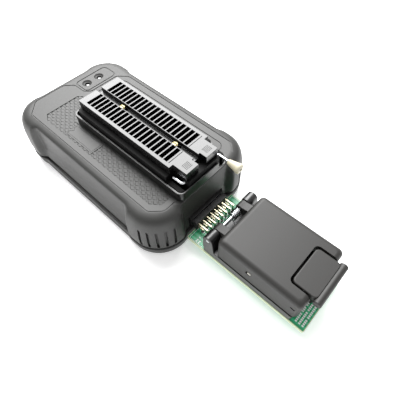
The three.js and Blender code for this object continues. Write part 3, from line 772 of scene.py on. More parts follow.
inlet = prism("inlet", rounded(-INLET_HALF, INLET_HALF, 75, 85, 0.01, 1), SEAM_Z - 1, INLET_TOP)
carve(upper_shell, window, port, inlet)
carve(upper_shell, *[rod("lamp_hole", LAMP_HOLE, (x, lamp_y, 20), (x, lamp_y, 30)) for x in lamp_x])


# %% Engraved lines
GROOVE = 0.34
OUTER_LINE = [
    (21.6, -16.4), (25.2, -12.8), (25.2, 57.3), (21.0, 62.2), (4.8, 62.2), (1.8, 65.3), (1.8, 72.3),
    (-2.5, 76.4), (-18.5, 76.4), (-25.3, 69.6), (-25.3, -11.5), (-20.6, -16.4), (-14.6, -16.4),
]
INNER_LINE = [(16.9, -11.6), (19.6, -11.6), (21.7, -9.4), (21.7, 55.4), (18.4, 59.4), (4.2, 59.4)]
for name, line in (("outer", OUTER_LINE), ("inner", INNER_LINE)):
    points = [(x, y, TOP_Z + 0.04) for x, y in line]
    carve(upper_shell, tube(name, points, GROOVE, resolution=1, ease=1.2))
pill = [(x, y, TOP_Z + 0.04) for x, y in rounded(3, 22, 63.8, 73.3, 2.2)]
carve(upper_shell, tube("pill", pill, GROOVE, closed=True, resolution=1))
print("cover:", len(upper_shell.data.vertices), "vertices after engraving")

# %% [markdown]
# Each lamp sits in a dimple: a shallow bowl, carved with a sphere that mostly stands above the cover.
# The panel left of the socket is sunk a little, so that its raised scales end level with the cover.

# %% Lamp dimples and the sunk panel
DIMPLE, DIMPLE_DEPTH, SINK = 2.5, 1.0, 0.35
ball = (DIMPLE**2 + DIMPLE_DEPTH**2) / (2 * DIMPLE_DEPTH)
dimples = []
for x in lamp_x:
    centre = Vector((x, lamp_y, TOP_Z + ball - DIMPLE_DEPTH)) * MM
    bpy.ops.mesh.primitive_uv_sphere_add(segments=40, ring_count=24, radius=ball * MM, location=centre)
    dimples.append(settle("dimple"))
carve(upper_shell, *dimples)

PANEL = [
    (-22.4, -10.2), (-22.4, 60.9), (-20.2, 64.4), (-2.6, 64.4), (-0.7, 62.4), (-0.7, 50.9), (-13.4, 50.9),
    (-13.9, 50.4), (-13.9, -13.6), (-19.0, -13.6),
]
carve(upper_shell, prism("panel_floor", PANEL, TOP_Z - SINK, TOP_Z + 1))
shade(upper_shell, 32)
stands_for(upper_shell, CASE, "upper_shell")
print("cover:", len(upper_shell.data.polygons), "faces")

# %% [markdown]
# The scales of the panel are one small rhombus with chamfered sides and a tilted top, so that each
# catches the light on one half. It is modelled once and copied on a staggered grid. A scale on the
# panel's edge runs a little into the cover, which stands higher there and hides the rest of it.

# %% One scale, then the whole panel
SCALE_X, SCALE_Y, SCALE_GAP = 2.6, 3.5, 0.2
SCALE_TOP, SCALE_TILT, SUNK = 0.72, 0.16, 0.02
MARK_X0, MARK_X1, MARK_Y0, MARK_Y1 = -21.3, -14.5, 28.8, 48.1
SCALE_ROOM = [
    (-23.0, -10.5), (-23.0, 61.2), (-20.5, 65.1), (-2.3, 65.1), (0.0, 62.7), (0.0, 50.4), (-13.7, 50.4),
    (-13.7, -14.3), (-19.3, -14.3),
]
MARK_ROOM = [
    (MARK_X0 + 0.7, MARK_Y0 + 0.9), (MARK_X1 - 0.7, MARK_Y0 + 0.9), (MARK_X1 - 0.7, MARK_Y1 - 0.9),
    (MARK_X0 + 0.7, MARK_Y1 - 0.9),
]


def inside(outline, x, y):
    """True if the point is inside the polygon."""
    hit = False
    for (ax, ay), (bx, by) in zip(outline, outline[1:] + outline[:1]):
        if (ay > y) != (by > y) and x < ax + (bx - ax) * (y - ay) / (by - ay):
            hit = not hit
    return hit


reach_x, reach_y = SCALE_X / 2 - SCALE_GAP, SCALE_Y / 2 - SCALE_GAP
tips = [(reach_x, 0), (0, reach_y), (-reach_x, 0), (0, -reach_y)]
scale = prism("scale", tips, TOP_Z - SINK - SUNK, TOP_Z - SUNK)
for vertex in scale.data.vertices:
    if vertex.co.z > (TOP_Z - SINK / 2) * MM:
        vertex.co.x *= SCALE_TOP
        vertex.co.y *= SCALE_TOP
        vertex.co.z += (SCALE_TILT * vertex.co.y / (reach_y * MM) - SCALE_TILT) * MM
scales = []
for column in range(19):
    for row in range(24):
        x = -24 + column * SCALE_X / 2
        y = -16 + row * SCALE_Y + (column % 2) * SCALE_Y / 2
        if inside(SCALE_ROOM, x, y) and not inside(MARK_ROOM, x, y):
            scales.append(copy_at(scale, x, y))
bpy.data.objects.remove(scale)
panel_scales = joined("panel_scales", scales)
goes_with(panel_scales, CASE, "upper_shell")
print(len(scales), "scales,", len(panel_scales.data.polygons), "faces")

# %% [markdown]
# The chip mark is a small plate among the scales that shows which way round a chip goes: a double
# outline with a notch at one end. The real one also has lettering, which is left out.

# %% The chip mark
NOTCH = 1.5


def mark_outline(inset):
    """A rectangle with a pointed notch at its rear end."""
    x0, x1, y0, y1 = MARK_X0 + inset, MARK_X1 - inset, MARK_Y0 + inset, MARK_Y1 - inset
    middle = (x0 + x1) / 2
    notch = [(middle + NOTCH, y1), (middle, y1 - NOTCH), (middle - NOTCH, y1)]
    return [(x0, y0), (x1, y0), (x1, y1), *notch, (x0, y1)]


chip_mark = prism("chip_mark", mark_outline(0), TOP_Z - SINK - SUNK, TOP_Z - SUNK)
soften(chip_mark, 0.12, 2)
line = [(x, y, TOP_Z) for x, y in mark_outline(0.75)]
carve(chip_mark, tube("mark_line", line, 0.16, closed=True, resolution=1))
shade(chip_mark)
goes_with(chip_mark, CASE, "upper_shell")

# %% [markdown]
# The lower shell is lofted the same way. It narrows to the table, so a bright table shows on it.

# %% The lower shell
LOW_Z0, LOW_Z1 = mm_box("lower_shell")[4:]
lower_shell = wrapped("case_tray", [
    case_level(2.4, 2.6, LOW_Z0),
    case_level(1.6, 2.0, LOW_Z0 + 0.2),
    case_level(0.9, 1.3, LOW_Z0 + 0.7),
    case_level(0.4, 0.9, LOW_Z0 + 1.4),
    case_level(0.3, 1.2, 3.4),
    case_level(0.1, 1.2, 4.6),
    case_level(0.1, 1.3, LOW_Z1 - 0.3),
    case_level(0.4, 1.6, LOW_Z1),
])
TRAY_X, TRAY_Y0, TRAY_Y1, TRAY_CORNER, TRAY_FLOOR = 27.6, -18.2, 78.2, 10, 3
PILLAR, SCREW_WAY, SCREW_SEAT, SEAT_DEPTH = 3.4, 1.6, 3.1, 2.4
board_z = mm_box("main_board")[4]
tray_line = rounded(-TRAY_X, TRAY_X, TRAY_Y0, TRAY_Y1, TRAY_CORNER)
carve(lower_shell, prism("room", tray_line, TRAY_FLOOR, LOW_Z1 + 1))
weld(lower_shell, *[rod("pillar", PILLAR, (x, y, 2.9), (x, y, board_z - 0.3)) for x, y in SCREWS])
carve(lower_shell, *[rod("way", SCREW_WAY, (x, y, 0), (x, y, 7)) for x, y in SCREWS])
carve(lower_shell, *[rod("seat", SCREW_SEAT, (x, y, 0), (x, y, SEAT_DEPTH), 32) for x, y in SCREWS])
shade(lower_shell, 32)
stands_for(lower_shell, CASE, "lower_shell")
print("tray:", len(lower_shell.data.polygons), "faces")

# %% Feet and case screws
for end in ("front", "rear"):
    for side in ("left", "right"):
        node = f"foot_{end}_{side}"
        x0, x1, y0, y1, z0, z1 = mm_box(node)
        centre = ((x0 + x1) / 2, (y0 + y1) / 2)
        foot = rod(f"rubber_{node}", (x1 - x0) / 2, (*centre, z0), (*centre, z1), 48)
        soften(foot, 0.35, 3)
        stands_for(shade(foot), RUBBER, node)
for i in range(1, 5):
    dressed(f"case_screw_{i}", f"case_screw_head_{i}", NICKEL, 0.12)
print("feet and screws done")

# %% [markdown]
# ## The lever socket
#
# A frame of polished plastic stands on the cover, the socket's base stands in it, and a plate with
# two rows of slots slides on the base when the lever is turned. These shapes are right in the CAD
# model, but every edge there is razor sharp. A copy gets its edges rounded by a few tenths of a
# millimetre, because a moulded edge is what catches the light.

# %% Frame and base
collar = dressed("zif_frame", "socket_collar", COLLAR, 0.16, 3)
# the base's material carries painted shade: deeper black, reflection turned down
base = dressed("zif_base", "lever_socket_base", BASE_PPS_PAINTED_SHADE, 0.12)
print("collar and base:", len(collar.data.polygons), len(base.data.polygons), "faces")

# %% [markdown]
# The sliding plate: a slab and two tongues, with a channel along the middle. Its outer edges are
# rounded first and the slots are carved after, so that the rounding cannot run into the thin ribs.
# The last bar in each row stands apart with a thin slit, and each tongue has a box of grip lines.

# %% The sliding plate
PX0, PX1, PY0, PY1, PZ0, PZ1 = mm_box("zif_top_plate")
TONGUE_HALF, TONGUE_MIDDLE, TONGUE_LONG = 9.1, 5.75, 7.2
SLOT_IN, SLOT_OUT, SLOT_WIDE, SLOT_ROWS, PITCH = 1.7, 9.7, 2.0, 20, 2.54
CHANNEL_HALF, CHANNEL_FLOOR, LEVER_ROOM_HALF, LEVER_ROOM_LONG = 1.4, 1.6, 2.3, 3.55
STUD_WAY_HALF, STUD_WAY_FRONT, STUD_WAY_REAR, SLIT = 1.2, 2.6, 1.4, 0.3
FIRST_SLOT = PY1 - 3.75
row_front = PY0 + 9.2
plate = block("sliding_plate", PX0, PX1, PY0 + TONGUE_LONG, PY1, PZ0, PZ1)
weld(plate, block("tongues", socket_x - TONGUE_HALF, socket_x + TONGUE_HALF, PY0, PY0 + 9, PZ0, PZ1))
channel_x = (socket_x - CHANNEL_HALF, socket_x + CHANNEL_HALF)
lever_room_x = (socket_x - LEVER_ROOM_HALF, socket_x + LEVER_ROOM_HALF)
carve(plate, block("channel", *channel_x, PY0 - 3, PY1 + 3, PZ0 + CHANNEL_FLOOR, PZ1 + 1),
      block("lever_room", *lever_room_x, PY0 - 3, PY0 + LEVER_ROOM_LONG, PZ0 - 1, PZ1 + 1))
soften(plate, 0.12, 2)

# %% Slots and grip lines of the plate
through = (PZ0 - 1, PZ1 + 1)
openings = []
for end in ("rear", "front"):
    y = middle_of(f"zif_stud_{end}", 1)
    way_x = (socket_x - STUD_WAY_HALF, socket_x + STUD_WAY_HALF)
    openings.append(block("stud_way", *way_x, y - STUD_WAY_FRONT, y + STUD_WAY_REAR, *through))
for side in (-1, 1):
    x0, x1 = to_side(socket_x, side, SLOT_IN, SLOT_OUT)
    for row in range(SLOT_ROWS):
        rear = FIRST_SLOT - row * PITCH
        openings.append(block("slot", x0, x1, rear - SLOT_WIDE, rear, *through))
    openings.append(block("slit", x0, x1, row_front - SLIT, row_front, *through))
carve(plate, *openings)
GRIP_HALF, GRIP_START, GRIP_PITCH, GRIP_WIDE, GRIP_DEPTH = 1.7, 1.5, 0.62, 0.26, 0.15
grips = []
for side in (-1, 1):
    x = socket_x + side * TONGUE_MIDDLE
    for line in range(5):
        y = PY0 + GRIP_START + line * GRIP_PITCH
        grips.append(block("grip", x - GRIP_HALF, x + GRIP_HALF, y, y + GRIP_WIDE, PZ1 - GRIP_DEPTH, PZ1 + 1))
carve(plate, *grips)
stands_for(shade(plate), PPS, "zif_top_plate")
print("plate:", len(plate.data.polygons), "faces")

# %% Brass studs with a screwdriver slot
for end in ("rear", "front"):
    node = f"zif_stud_{end}"
    x0, x1, y0, y1, z0, z1 = mm_box(node)
    x, y, radius = (x0 + x1) / 2, (y0 + y1) / 2, (x1 - x0) / 2
    head = rod(f"brass_{node}", radius, (x, y, z1 - 1), (x, y, z1), 40)
    soften(head, 0.3, 3)
    weld(head, rod("shank", 0.8, (x, y, z0), (x, y, z1 - 0.5), 24))
    carve(head, block("slot", x - 0.22, x + 0.22, y - 2, y + 2, z1 - 0.45, z1 + 1))
    stands_for(shade(head), BRASS, node)


# %% [markdown]
# The lever is one bent steel wire: a short tail, the shaft that turns in the base, and the arm that
# carries the knob. A wire keeps its thickness round a bend, so it is a path with a round section.
# The knob is turned: half its outline is spun once round its axis.

# %% The bent wire
AXIS_Y, AXIS_Z = pivot("lever_turn")
WX0, WX1, WY0, WY1 = mm_box("lever_wire")[:4]
WIRE = 0.7
tail_x, arm_x = WX0 + WIRE, WX1 - WIRE
wire = tube("lever_wire_bent", [
    (tail_x, WY1 - 0.05, AXIS_Z), (tail_x, AXIS_Y, AXIS_Z),
    (arm_x, AXIS_Y, AXIS_Z), (arm_x, WY0 + 0.05, AXIS_Z),
], WIRE, ease=1.2)
soften(wire, 0.15, 2, 60)
stands_for(shade(wire), STEEL, "lever_wire")

# %% The turned knob
KX0, KX1, KY0, KY1, KZ0, KZ1 = mm_box("lever_knob")
knob_x, knob_z = (KX0 + KX1) / 2, (KZ0 + KZ1) / 2
KNOB_LINE = [(0.0, 0.0), (1.05, 0.0), (1.22, 0.25), (1.5, 1.8), (1.95, 4.0), (2.3, 5.2), (2.35, 5.7),
             (2.2, 6.15), (1.75, 6.42), (0.9, 6.5), (0.0, 6.5)]

knob = turned("turned_knob", KNOB_LINE, (knob_x, KY1, knob_z), (0, -1, 0))
carve(knob, rod("wire_way", WIRE + 0.12, (knob_x, KY1 + 1, knob_z), (knob_x, KY1 - 2.4, knob_z)))
carve(knob, rod("end_hole", 0.75, (knob_x, KY0 - 1, knob_z), (knob_x, KY0 + 0.9, knob_z), 24))
stands_for(shade(knob, 40), KNOB, "lever_knob")
print("lever done:", len(wire.data.polygons), len(knob.data.polygons), "faces")

# %% [markdown]
# The light pipes end in small domes at the bottom of their dimples: a turned outline again.

# %% Light pipes
for i, x in enumerate(lamp_x, 1):
    node = f"light_pipe_{i}"
    z0, z1 = mm_box(node)[4:]
    outline = [(0, 0), (0.95, 0), (1.0, 0.1), (1.0, 15.0), (1.85, 15.0), (1.9, 15.1), (1.9, 16.6),
               (1.82, 16.7), (1.0, 16.7), (1.0, 17.6), (0.9, 17.85), (0.6, 17.97), (0, z1 - z0)]
    pipe = turned(f"light_pipe_domed_{i}", outline, (x, lamp_y, z0), (0, 0, 1), 32)
    stands_for(shade(pipe, 40), LENS, node)
print("light pipes done")

# %% [markdown]
# ## The adapter board
#
# A board is a pale glass-epoxy core with a thin green skin on each face, so its cut edge shows light.
# The skins are separate thin plates. Legends and pads are printed or plated on top, a few hundredths
# of a millimetre high. The real legends are words, which are left out: plain bars stand in for them.

# %% Core and skins
AX0, AX1, AY0, AY1, AZ0, AZ1 = mm_box("adapter_board")
SKIN = 0.09
# the lacquer stops short of the cut edge, so that the pale core shows round it
SKIN_GAP = 0.35


def fr4_core():
    """Cut glass epoxy: pale green yellow, a little rough where the router passed."""
    made_of, shader = finish("fr4_cut_edge", "#cfd8b4", 0.6, ior=1.55)
    return grained(made_of, shader, 0.3, 0.01, ("#c2cca6", "#dbe3c4"))


CORE = fr4_core()


def board_layer(name, gap, low, high):
    """The board between two heights, with its outer edge cut back by gap."""
    layer = from_cad("adapter_board", name)
    keep = block("layer_room", AX0 + gap, AX1 - gap, AY0 + gap, AY1 - gap, low, high)
    return shade(combine(layer, "INTERSECT", [keep]))


core = board_layer("adapter_core", -1, AZ0 + SKIN, AZ1 - SKIN)
stands_for(core, CORE, "adapter_board")
for name, low, high in (("top", AZ1 - SKIN, AZ1), ("bottom", AZ0, AZ0 + SKIN)):
    goes_with(board_layer(f"adapter_mask_{name}", SKIN_GAP, low, high), BOARD, "adapter_board")
print("core:", len(core.data.polygons), "faces")

# %% Printed legends
INK_HIGH = 0.035


def ink_bars(name, rows):
    """Plain printed bars; each row is (x0, x1, y0, y1)."""
    bars = [block("bar", *row, AZ1, AZ1 + INK_HIGH) for row in rows]
    goes_with(joined(f"legend_{name}", bars), INK, "adapter_board")


def legend_rows(x0, y0, lines, pitch, height, mark=0.62, gap=0.26):
    """Lines of equal small bars in groups, as print looks from afar; each number is a group's size."""
    rows = []
    for line, groups in enumerate(lines):
        x = x0
        for size in groups:
            for _ in range(size):
                rows.append((x, x + mark, y0 - line * pitch, y0 - line * pitch + height))
                x += mark + gap
            x += 2 * gap
    return rows


front_legend = legend_rows(AX0 + 1.6, AY0 + 4.1, [(5, 3, 4), (7, 4), (4, 8)], 1.5, 0.85)
rear_legend = legend_rows(AX0 + 0.9, AY1 - 5.0, [(2, 1), (2,)], 1.3, 0.8)
for name, rows in (("front", front_legend), ("rear", rear_legend)):
    ink_bars(name, rows)
outline_bars = [
    (AX0 + 0.5, AX0 + 0.7, AY1 - 8.4, AY1 - 1.2), (AX0 + 0.5, AX1 - 0.5, AY1 - 1.2, AY1 - 1.0),
    (AX1 - 0.7, AX1 - 0.5, AY1 - 8.4, AY1 - 1.2),
]
ink_bars("outline", outline_bars)
print("board printed")

# %% [markdown]
# The header: two rows of square pins bent down into the board, each in a plated ring with a cone of
# solder. The pins are the CAD ones with softened edges; a ring and a fillet are modelled once, turned,
# and copied to every hole.

# %% Pins, housing, rings and solder
for row in ("lower", "upper"):
    dressed(f"pin_row_{row}", f"plated_pins_{row}", GOLD, 0.06)
dressed("header_housing", "header_block", NYLON, 0.1)
dressed("port_socket", "port_block", NYLON, 0.1)

PINS, PIN_HALF = 8, 0.32
drops = [mm_box(f"pin_row_{row}")[2] + PIN_HALF for row in ("lower", "upper")]
FILLET_LINE = [(0.0, 0.0), (0.85, 0.0), (0.85, 0.04), (0.6, 0.06), (0.45, 0.2), (0.4, 0.4), (0.0, 0.4)]
fillet = turned("fillet", FILLET_LINE, (0, 0, AZ1 - 0.005), (0, 0, 1), 18)
copies = []
for y in drops:
    for i in range(PINS):
        copies.append(copy_at(fillet, adapter_x + (i - (PINS - 1) / 2) * PITCH, y))
bpy.data.objects.remove(fillet)
goes_with(shade(joined("solder_fillets", copies)), SOLDER, "adapter_board")
print(PINS * 2, "solder joints")

# %% [markdown]
# ## The test socket
#
# A clamshell socket stands on the adapter: a base, a lid on a steel rod, and a latch with a roll to
# pull. The lid is lofted from rounded outlines, so that its top edge is one wide even round, which
# shows as a dark band between the top and the wall. Then it is hollowed, notched for the latch, and
# given its hinge arms.

# %% Sizes of the socket
HINGE_Y, HINGE_Z = pivot("lid_swing")
LATCH_Y, LATCH_Z = pivot("latch_tip")
BX0, BX1, BY0, BY1, BZ0, _ = mm_box("socket_base")
LX0, LX1, LY0, _, LZ0, LZ1 = mm_box("lid_shell")
LID_REAR = HINGE_Y - 4.5
RIM_Z = LZ0 - 0.3
ROD_WAY, PIN_WAY = 1.05, 0.8
chip_y = middle_of("chip_nest", 1)


def side_prism(name, outline, x0, x1):
    """An outline of (y, z) points carried along X."""
    obj = prism(name, outline, x0, x1)
    obj.data.transform(Matrix(((0, 0, 1, 0), (1, 0, 0, 0), (0, 1, 0, 0), (0, 0, 0, 1))))
    return obj


def cross_rod(name, radius, half, y, z, sides):
    """A rod across the socket, that far to each side of its middle."""
    return rod(name, radius, (adapter_x - half, y, z), (adapter_x + half, y, z), sides)


# %% Lid body
ROUND, WALL, ROOF_Z = 2.5, 1.8, 19
lid_rings = [rounded(LX0 + 0.12, LX1 - 0.12, LY0 + 0.12, LID_REAR - 0.12, 2, 8)]
lid_levels = [LZ0]
for step in range(10):
    angle = math.radians(90 * step / 9)
    inset = ROUND * (1 - math.cos(angle))
    corner = 2 - 0.3 * inset
    lid_rings.append(rounded(LX0 + inset, LX1 - inset, LY0 + inset, LID_REAR - inset, corner, 8))
    lid_levels.append(LZ1 - ROUND + ROUND * math.sin(angle))
lid_rings.insert(1, rounded(LX0, LX1, LY0, LID_REAR, 2, 8))
lid_levels.insert(1, LZ0 + 0.12)
lid = wrapped("clamshell_lid", [[(x, y, z) for x, y in ring] for ring, z in zip(lid_rings, lid_levels)])
carve(lid, prism("hollow", rounded(LX0 + WALL, LX1 - WALL, LY0 + WALL, LID_REAR - WALL, 1), 9, ROOF_Z))
print("lid body:", len(lid.data.polygons), "faces")

# %% Pad boss, hinge arms and latch cheeks
boss = block("boss", adapter_x - 7.2, adapter_x + 7.2, chip_y - 8.2, chip_y + 8.2, 17.4, ROOF_Z + 1)
carve(boss, block("pocket", adapter_x - 6, adapter_x + 6, chip_y - 7, chip_y + 7, 10, 19.4))
weld(lid, boss)
KNUCKLE = 2.3
arm_line = [(LID_REAR - 1, 13.4), (LID_REAR - 1, 19.2)]
for step in range(13):
    angle = math.radians(110 - 220 * step / 12)
    arm_line.append((HINGE_Y + KNUCKLE * math.cos(angle), HINGE_Z + KNUCKLE * math.sin(angle)))
for side in (-1, 1):
    weld(lid, soften(side_prism("arm", arm_line, *to_side(adapter_x, side, 5.6, 9.5)), 0.25, 2, 50))
    weld(lid, block("cheek", *to_side(adapter_x, side, 9.8, 13.3), -77, -71, 16.5, 21))
carve(lid, cross_rod("hinge_way", ROD_WAY, 20, HINGE_Y, HINGE_Z, 32))
NOTCH_HALF = 9.7
carve(lid, prism("notch", rounded(adapter_x - NOTCH_HALF, adapter_x + NOTCH_HALF, -90, -68, 2, 8), 5, 30))
carve(lid, cross_rod("pin_way", PIN_WAY, 13.5, LATCH_Y, LATCH_Z, 24))
carve(lid, block("side_hole", LX0 - 1, LX0 + 3, -56.0, -53.6, 15.2, 17.4))
carve(lid, block("side_slot", LX0 - 1, LX0 + 1.2, -75.8, -74, 16.2, 17.2))
weld(lid, block("shelf", adapter_x - 3, adapter_x + 3, -72.4, -65.2, 14.6, 15.9),
     block("shelf_wall", adapter_x - 3, adapter_x + 3, -67.9, -65.2, 15.5, 19.5))
stands_for(shade(lid, 30), PEI, "lid_shell")
print("lid:", len(lid.data.polygons), "faces")

# %% [markdown]
# Through the small square hole in the lid's side shows the bright end of a locating pin.

# %% Locating pin
locator = block("lid_locator", LX0 + 0.12, LX0 + 1.6, -55.9, -54.3, 15.3, 16.5)
soften(locator, 0.15, 2)
goes_with(shade(locator), NICKEL, "latch_pin")

# %% [markdown]
# The latch: a plate flush with the lid, its top edge a little rounded; a roll across its front with a
# groove where the plate ends; a boss round the pin; and an arm that hooks down in front of the base.

# %% Latch
PLATE_HALF, PLATE_FRONT, PLATE_REAR, PLATE_UNDER, PLATE_ROUND = 8.9, -79.6, -68.9, 20.4, 0.5
ROLL, ROLL_Y, ROLL_Z, ROLL_HALF, ROLL_GROOVE = 1.75, -80.3, 21, 9.9, 0.35


def plate_ring(inset, z):
    """The latch plate's outline at height z, set in by inset."""
    half = PLATE_HALF - inset
    ring = rounded(adapter_x - half, adapter_x + half, PLATE_FRONT + inset, PLATE_REAR - inset, 1.8, 8)
    return [(x, y, z) for x, y in ring]


plate_rings = [plate_ring(0, PLATE_UNDER)]
for step in range(6):
    angle = math.radians(90 * step / 5)
    height = LZ1 - PLATE_ROUND + PLATE_ROUND * math.sin(angle)
    plate_rings.append(plate_ring(PLATE_ROUND * (1 - math.cos(angle)), height))
latch = wrapped("latch_with_roll", plate_rings)
carve(latch, cross_rod("roll_groove", ROLL + ROLL_GROOVE, ROLL_HALF, ROLL_Y, ROLL_Z, 48))
roll = soften(cross_rod("roll", ROLL, ROLL_HALF, ROLL_Y, ROLL_Z, 64), 0.35, 3)
boss = cross_rod("boss", 2.1, 8.4, LATCH_Y, LATCH_Z, 32)
bridge = block("bridge", adapter_x - 8.6, adapter_x + 8.6, ROLL_Y, -77, 19.9, 21.5)
hook_line = [(-79.2, 6.9), (-76.95, 6.9), (-76.95, 8.2), (-77.95, 9.2), (-77.95, 21), (-79.2, 21)]
hook = side_prism("hook", hook_line, adapter_x - 4.6, adapter_x + 4.6)
for part in (boss, bridge, roll, hook):
    weld(latch, part)
carve(latch, cross_rod("pin_way", PIN_WAY, 20, LATCH_Y, LATCH_Z, 24))
stands_for(shade(latch, 30), PEI, "latch")
print("latch:", len(latch.data.polygons), "faces")

# %% Base with its two lugs
base_line = rounded(BX0, BX1, BY0, BY1, 1, 6)
socket_base = prism("clamshell_base", base_line, BZ0, RIM_Z)
LUG = 2.5
lug_line = [(HINGE_Y + LUG, RIM_Z - 1)]
for step in range(17):
    angle = math.radians(180 * step / 16)
    lug_line.append((HINGE_Y + LUG * math.cos(angle), HINGE_Z + LUG * math.sin(angle)))
lug_line += [(-38, RIM_Z - 1)]
for side in (-1, 1):
    lug = side_prism("lug", lug_line, *to_side(adapter_x, side, 9.8, BX1 - adapter_x))
    weld(socket_base, soften(lug, 0.3, 2, 50))
weld(socket_base, block("ledge", adapter_x - 10.5, adapter_x + 10.5, chip_y - 12, chip_y + 12, BZ0, 13.2))
carve(socket_base, block("well", adapter_x - 8, adapter_x + 8, chip_y - 9, chip_y + 9, 4, 20))
carve(socket_base, block("arm_bay", adapter_x - 9.8, adapter_x + 9.8, BY1 - 5.6, BY1 + 1, 8.6, 20))
carve(socket_base, rod("rod_way", ROD_WAY, (BX0 - 5, HINGE_Y, HINGE_Z), (BX1 + 5, HINGE_Y, HINGE_Z), 32))
screw_places = [[middle_of(f"socket_screw_{i}", axis) for axis in (0, 1)] for i in range(1, 5)]
carve(socket_base, *[rod("screw_way", 0.9, (x, y, 0), (x, y, 9.5), 20) for x, y in screw_places])
soften(socket_base, 0.12, 2, 50)
stands_for(shade(socket_base, 30), BASE_PEI, "socket_base")
print("base:", len(socket_base.data.polygons), "faces")

# %% [markdown]
# The hinge rod is ground steel with chamfered ends. The lid spring winds round it: a helix worked out by a
# loop, with a straight leg at its start.

# %% Rod, pin and springs
rod_box = mm_box("hinge_rod")
hinge_rod = rod("ground_hinge_rod", 0.95, (rod_box[0], HINGE_Y, HINGE_Z), (rod_box[1], HINGE_Y, HINGE_Z), 48)
stands_for(shade(soften(hinge_rod, 0.18, 2)), STEEL, "hinge_rod")
pin_box = mm_box("latch_pin")
latch_pin = rod("ground_latch_pin", 0.6, (pin_box[0], LATCH_Y, LATCH_Z), (pin_box[1], LATCH_Y, LATCH_Z), 32)
stands_for(shade(soften(latch_pin, 0.12, 2)), STEEL, "latch_pin")

COIL, TURNS, COIL_START, COIL_LONG = 1.75, 5, 0.5, 4.2
coil = [(adapter_x + COIL_START, HINGE_Y - 3.4, HINGE_Z - COIL - 2.1)]
for step in range(TURNS * 24 + 1):
    share = step / (TURNS * 24)
    angle = -math.pi / 2 + share * TURNS * math.tau
    coil.append((
        adapter_x + COIL_START + share * COIL_LONG,
        HINGE_Y - COIL * math.cos(angle),
        HINGE_Z + COIL * math.sin(angle),
    ))
lid_spring = tube("wound_lid_spring", coil, 0.3, resolution=2)
stands_for(shade(lid_spring, 50), STEEL, "lid_spring")

sx0, sx1, sy0, sy1, sz0, sz1 = mm_box("latch_spring")
LATCH_COIL, LATCH_WIRE, LATCH_TURNS = 1.1, 0.22, 3.5
steps = int(LATCH_TURNS * 24)
coil = [(
    (sx0 + sx1) / 2 + LATCH_COIL * math.cos(math.tau * LATCH_TURNS * step / steps),
    (sy0 + sy1) / 2 + LATCH_COIL * math.sin(math.tau * LATCH_TURNS * step / steps),
    sz0 + LATCH_WIRE + (sz1 - sz0 - 2 * LATCH_WIRE) * step / steps,
) for step in range(steps + 1)]
latch_spring = tube("wound_latch_spring", coil, LATCH_WIRE, resolution=2)
stands_for(shade(latch_spring, 50), STEEL, "latch_spring")
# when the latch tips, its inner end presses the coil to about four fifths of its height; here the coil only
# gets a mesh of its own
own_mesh(latch_spring)
print("springs wound")

# %% [markdown]
# Inside, which only shows with the lid open: the floating nest that guides the chip, the block with
# two rows of fine spring contacts, and the metal pressure pad under the lid.

# %% Inside of the socket
dressed("chip_nest", "floating_nest", PEI, 0.2)
dressed("contact_block", "contact_carrier", PEI, 0.15)
dressed("pressure_pad", "machined_pressure_pad", ALUMINIUM, 0.25)
CONTACT_PITCH, CONTACTS, FINGER_HALF, FINGER_HIGH = 0.5, 22, 0.11, 0.06
block_top = mm_box("contact_block")[5]
finger_z = (block_top - 0.3, block_top + FINGER_HIGH)
fingers = []
for side in (-1, 1):
    for i in range(CONTACTS):
        y = chip_y + (i - (CONTACTS - 1) / 2) * CONTACT_PITCH
        finger_x = to_side(adapter_x, side, 3.2, 4.8)
        fingers.append(block("finger", *finger_x, y - FINGER_HALF, y + FINGER_HALF, *finger_z))
goes_with(soften(joined("contact_fingers", fingers), 0.06), GOLD, "contact_block")
for i in range(1, 5):
    screw = from_cad(f"socket_screw_{i}", f"socket_screw_head_{i}")
    x, y = screw_places[i - 1]
    z0 = mm_box(f"socket_screw_{i}")[4]
    carve(screw, block("recess", x - 1.2, x + 1.2, y - 0.22, y + 0.22, z0 - 1, z0 + 0.5))
    soften(screw, 0.1, 2)
    stands_for(shade(screw), NICKEL, f"socket_screw_{i}")
print(CONTACTS * 2, "contacts")

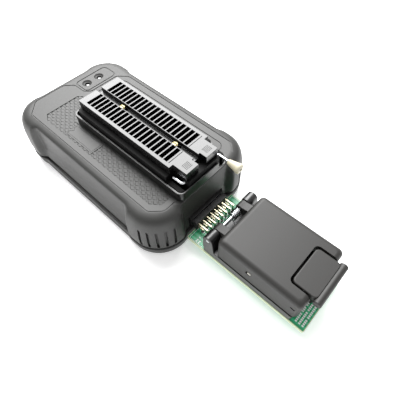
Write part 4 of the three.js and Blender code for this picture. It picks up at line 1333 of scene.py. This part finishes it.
# %% [markdown]
# ## The inlet and the inner parts
#
# The inlet shows at the rear: a folded metal shell with a tongue. The boards and the parts on them are
# hidden in the case. The larger chips, the inductor and the crystal get their edges rounded too,
# because a section through the model shows them; the rest stay as they are in the CAD model.

# %% Inlet and inner parts
dressed("usb_inlet", "drawn_inlet_shell", NICKEL, 0.08, angle=30)
dressed("usb_tongue", "inlet_tongue", NYLON, 0.1)
for node in ("processor", "logic_chip", "inductor", "crystal"):
    dressed(node, f"moulded_{node}", BY_SLOT[SLOT_OF[node]], 0.25)
print("inner parts done")

# %% [markdown]
# ## Floor and light
#
# The programmer stands on a light table: white acrylic, faintly lit from below, so that hardly any
# shadow is left. One large soft box hangs behind it, where flat black plastic mirrors it to the
# camera: that is why the cover looks grey and the socket's plate nearly white, although both are black.

# %% Floor
bpy.ops.mesh.primitive_plane_add(size=4, location=(0, 0, 0))
floor = settle("table")
paper, paper_shader = finish("backlit_acrylic", "#f4f4f4", 0.9)
paper_shader.inputs["Emission Color"].default_value = (1, 1, 1, 1)
paper_shader.inputs["Emission Strength"].default_value = 0.35
floor.data.materials.append(paper)

# %% Light
def soft_light(name, place, size, energy):
    """A square area light that looks at the object."""
    light = bpy.data.lights.new(name, "AREA")
    light.shape = "SQUARE"
    light.size = size
    light.energy = energy
    holder = bpy.data.objects.new(name, light)
    bpy.context.scene.collection.objects.link(holder)
    holder.location = place
    holder.rotation_euler = (Vector((0, 0.01, 0.03)) - Vector(place)).to_track_quat("-Z", "Y").to_euler()


soft_light("rear_soft_box", (0.36, 0.49, 0.76), 0.84, 27)

world = bpy.data.worlds.new("studio")
bpy.context.scene.world = world
world.use_nodes = True
world.node_tree.nodes["Background"].inputs["Color"].default_value = (1, 1, 1, 1)
world.node_tree.nodes["Background"].inputs["Strength"].default_value = 0.75
bpy.context.scene.view_settings.view_transform = "Standard"
bpy.context.scene.view_settings.look = "None"

# %% [markdown]
# The last step prints how many pieces were made.

# %% Count of pieces
print(len(made), "pieces made")
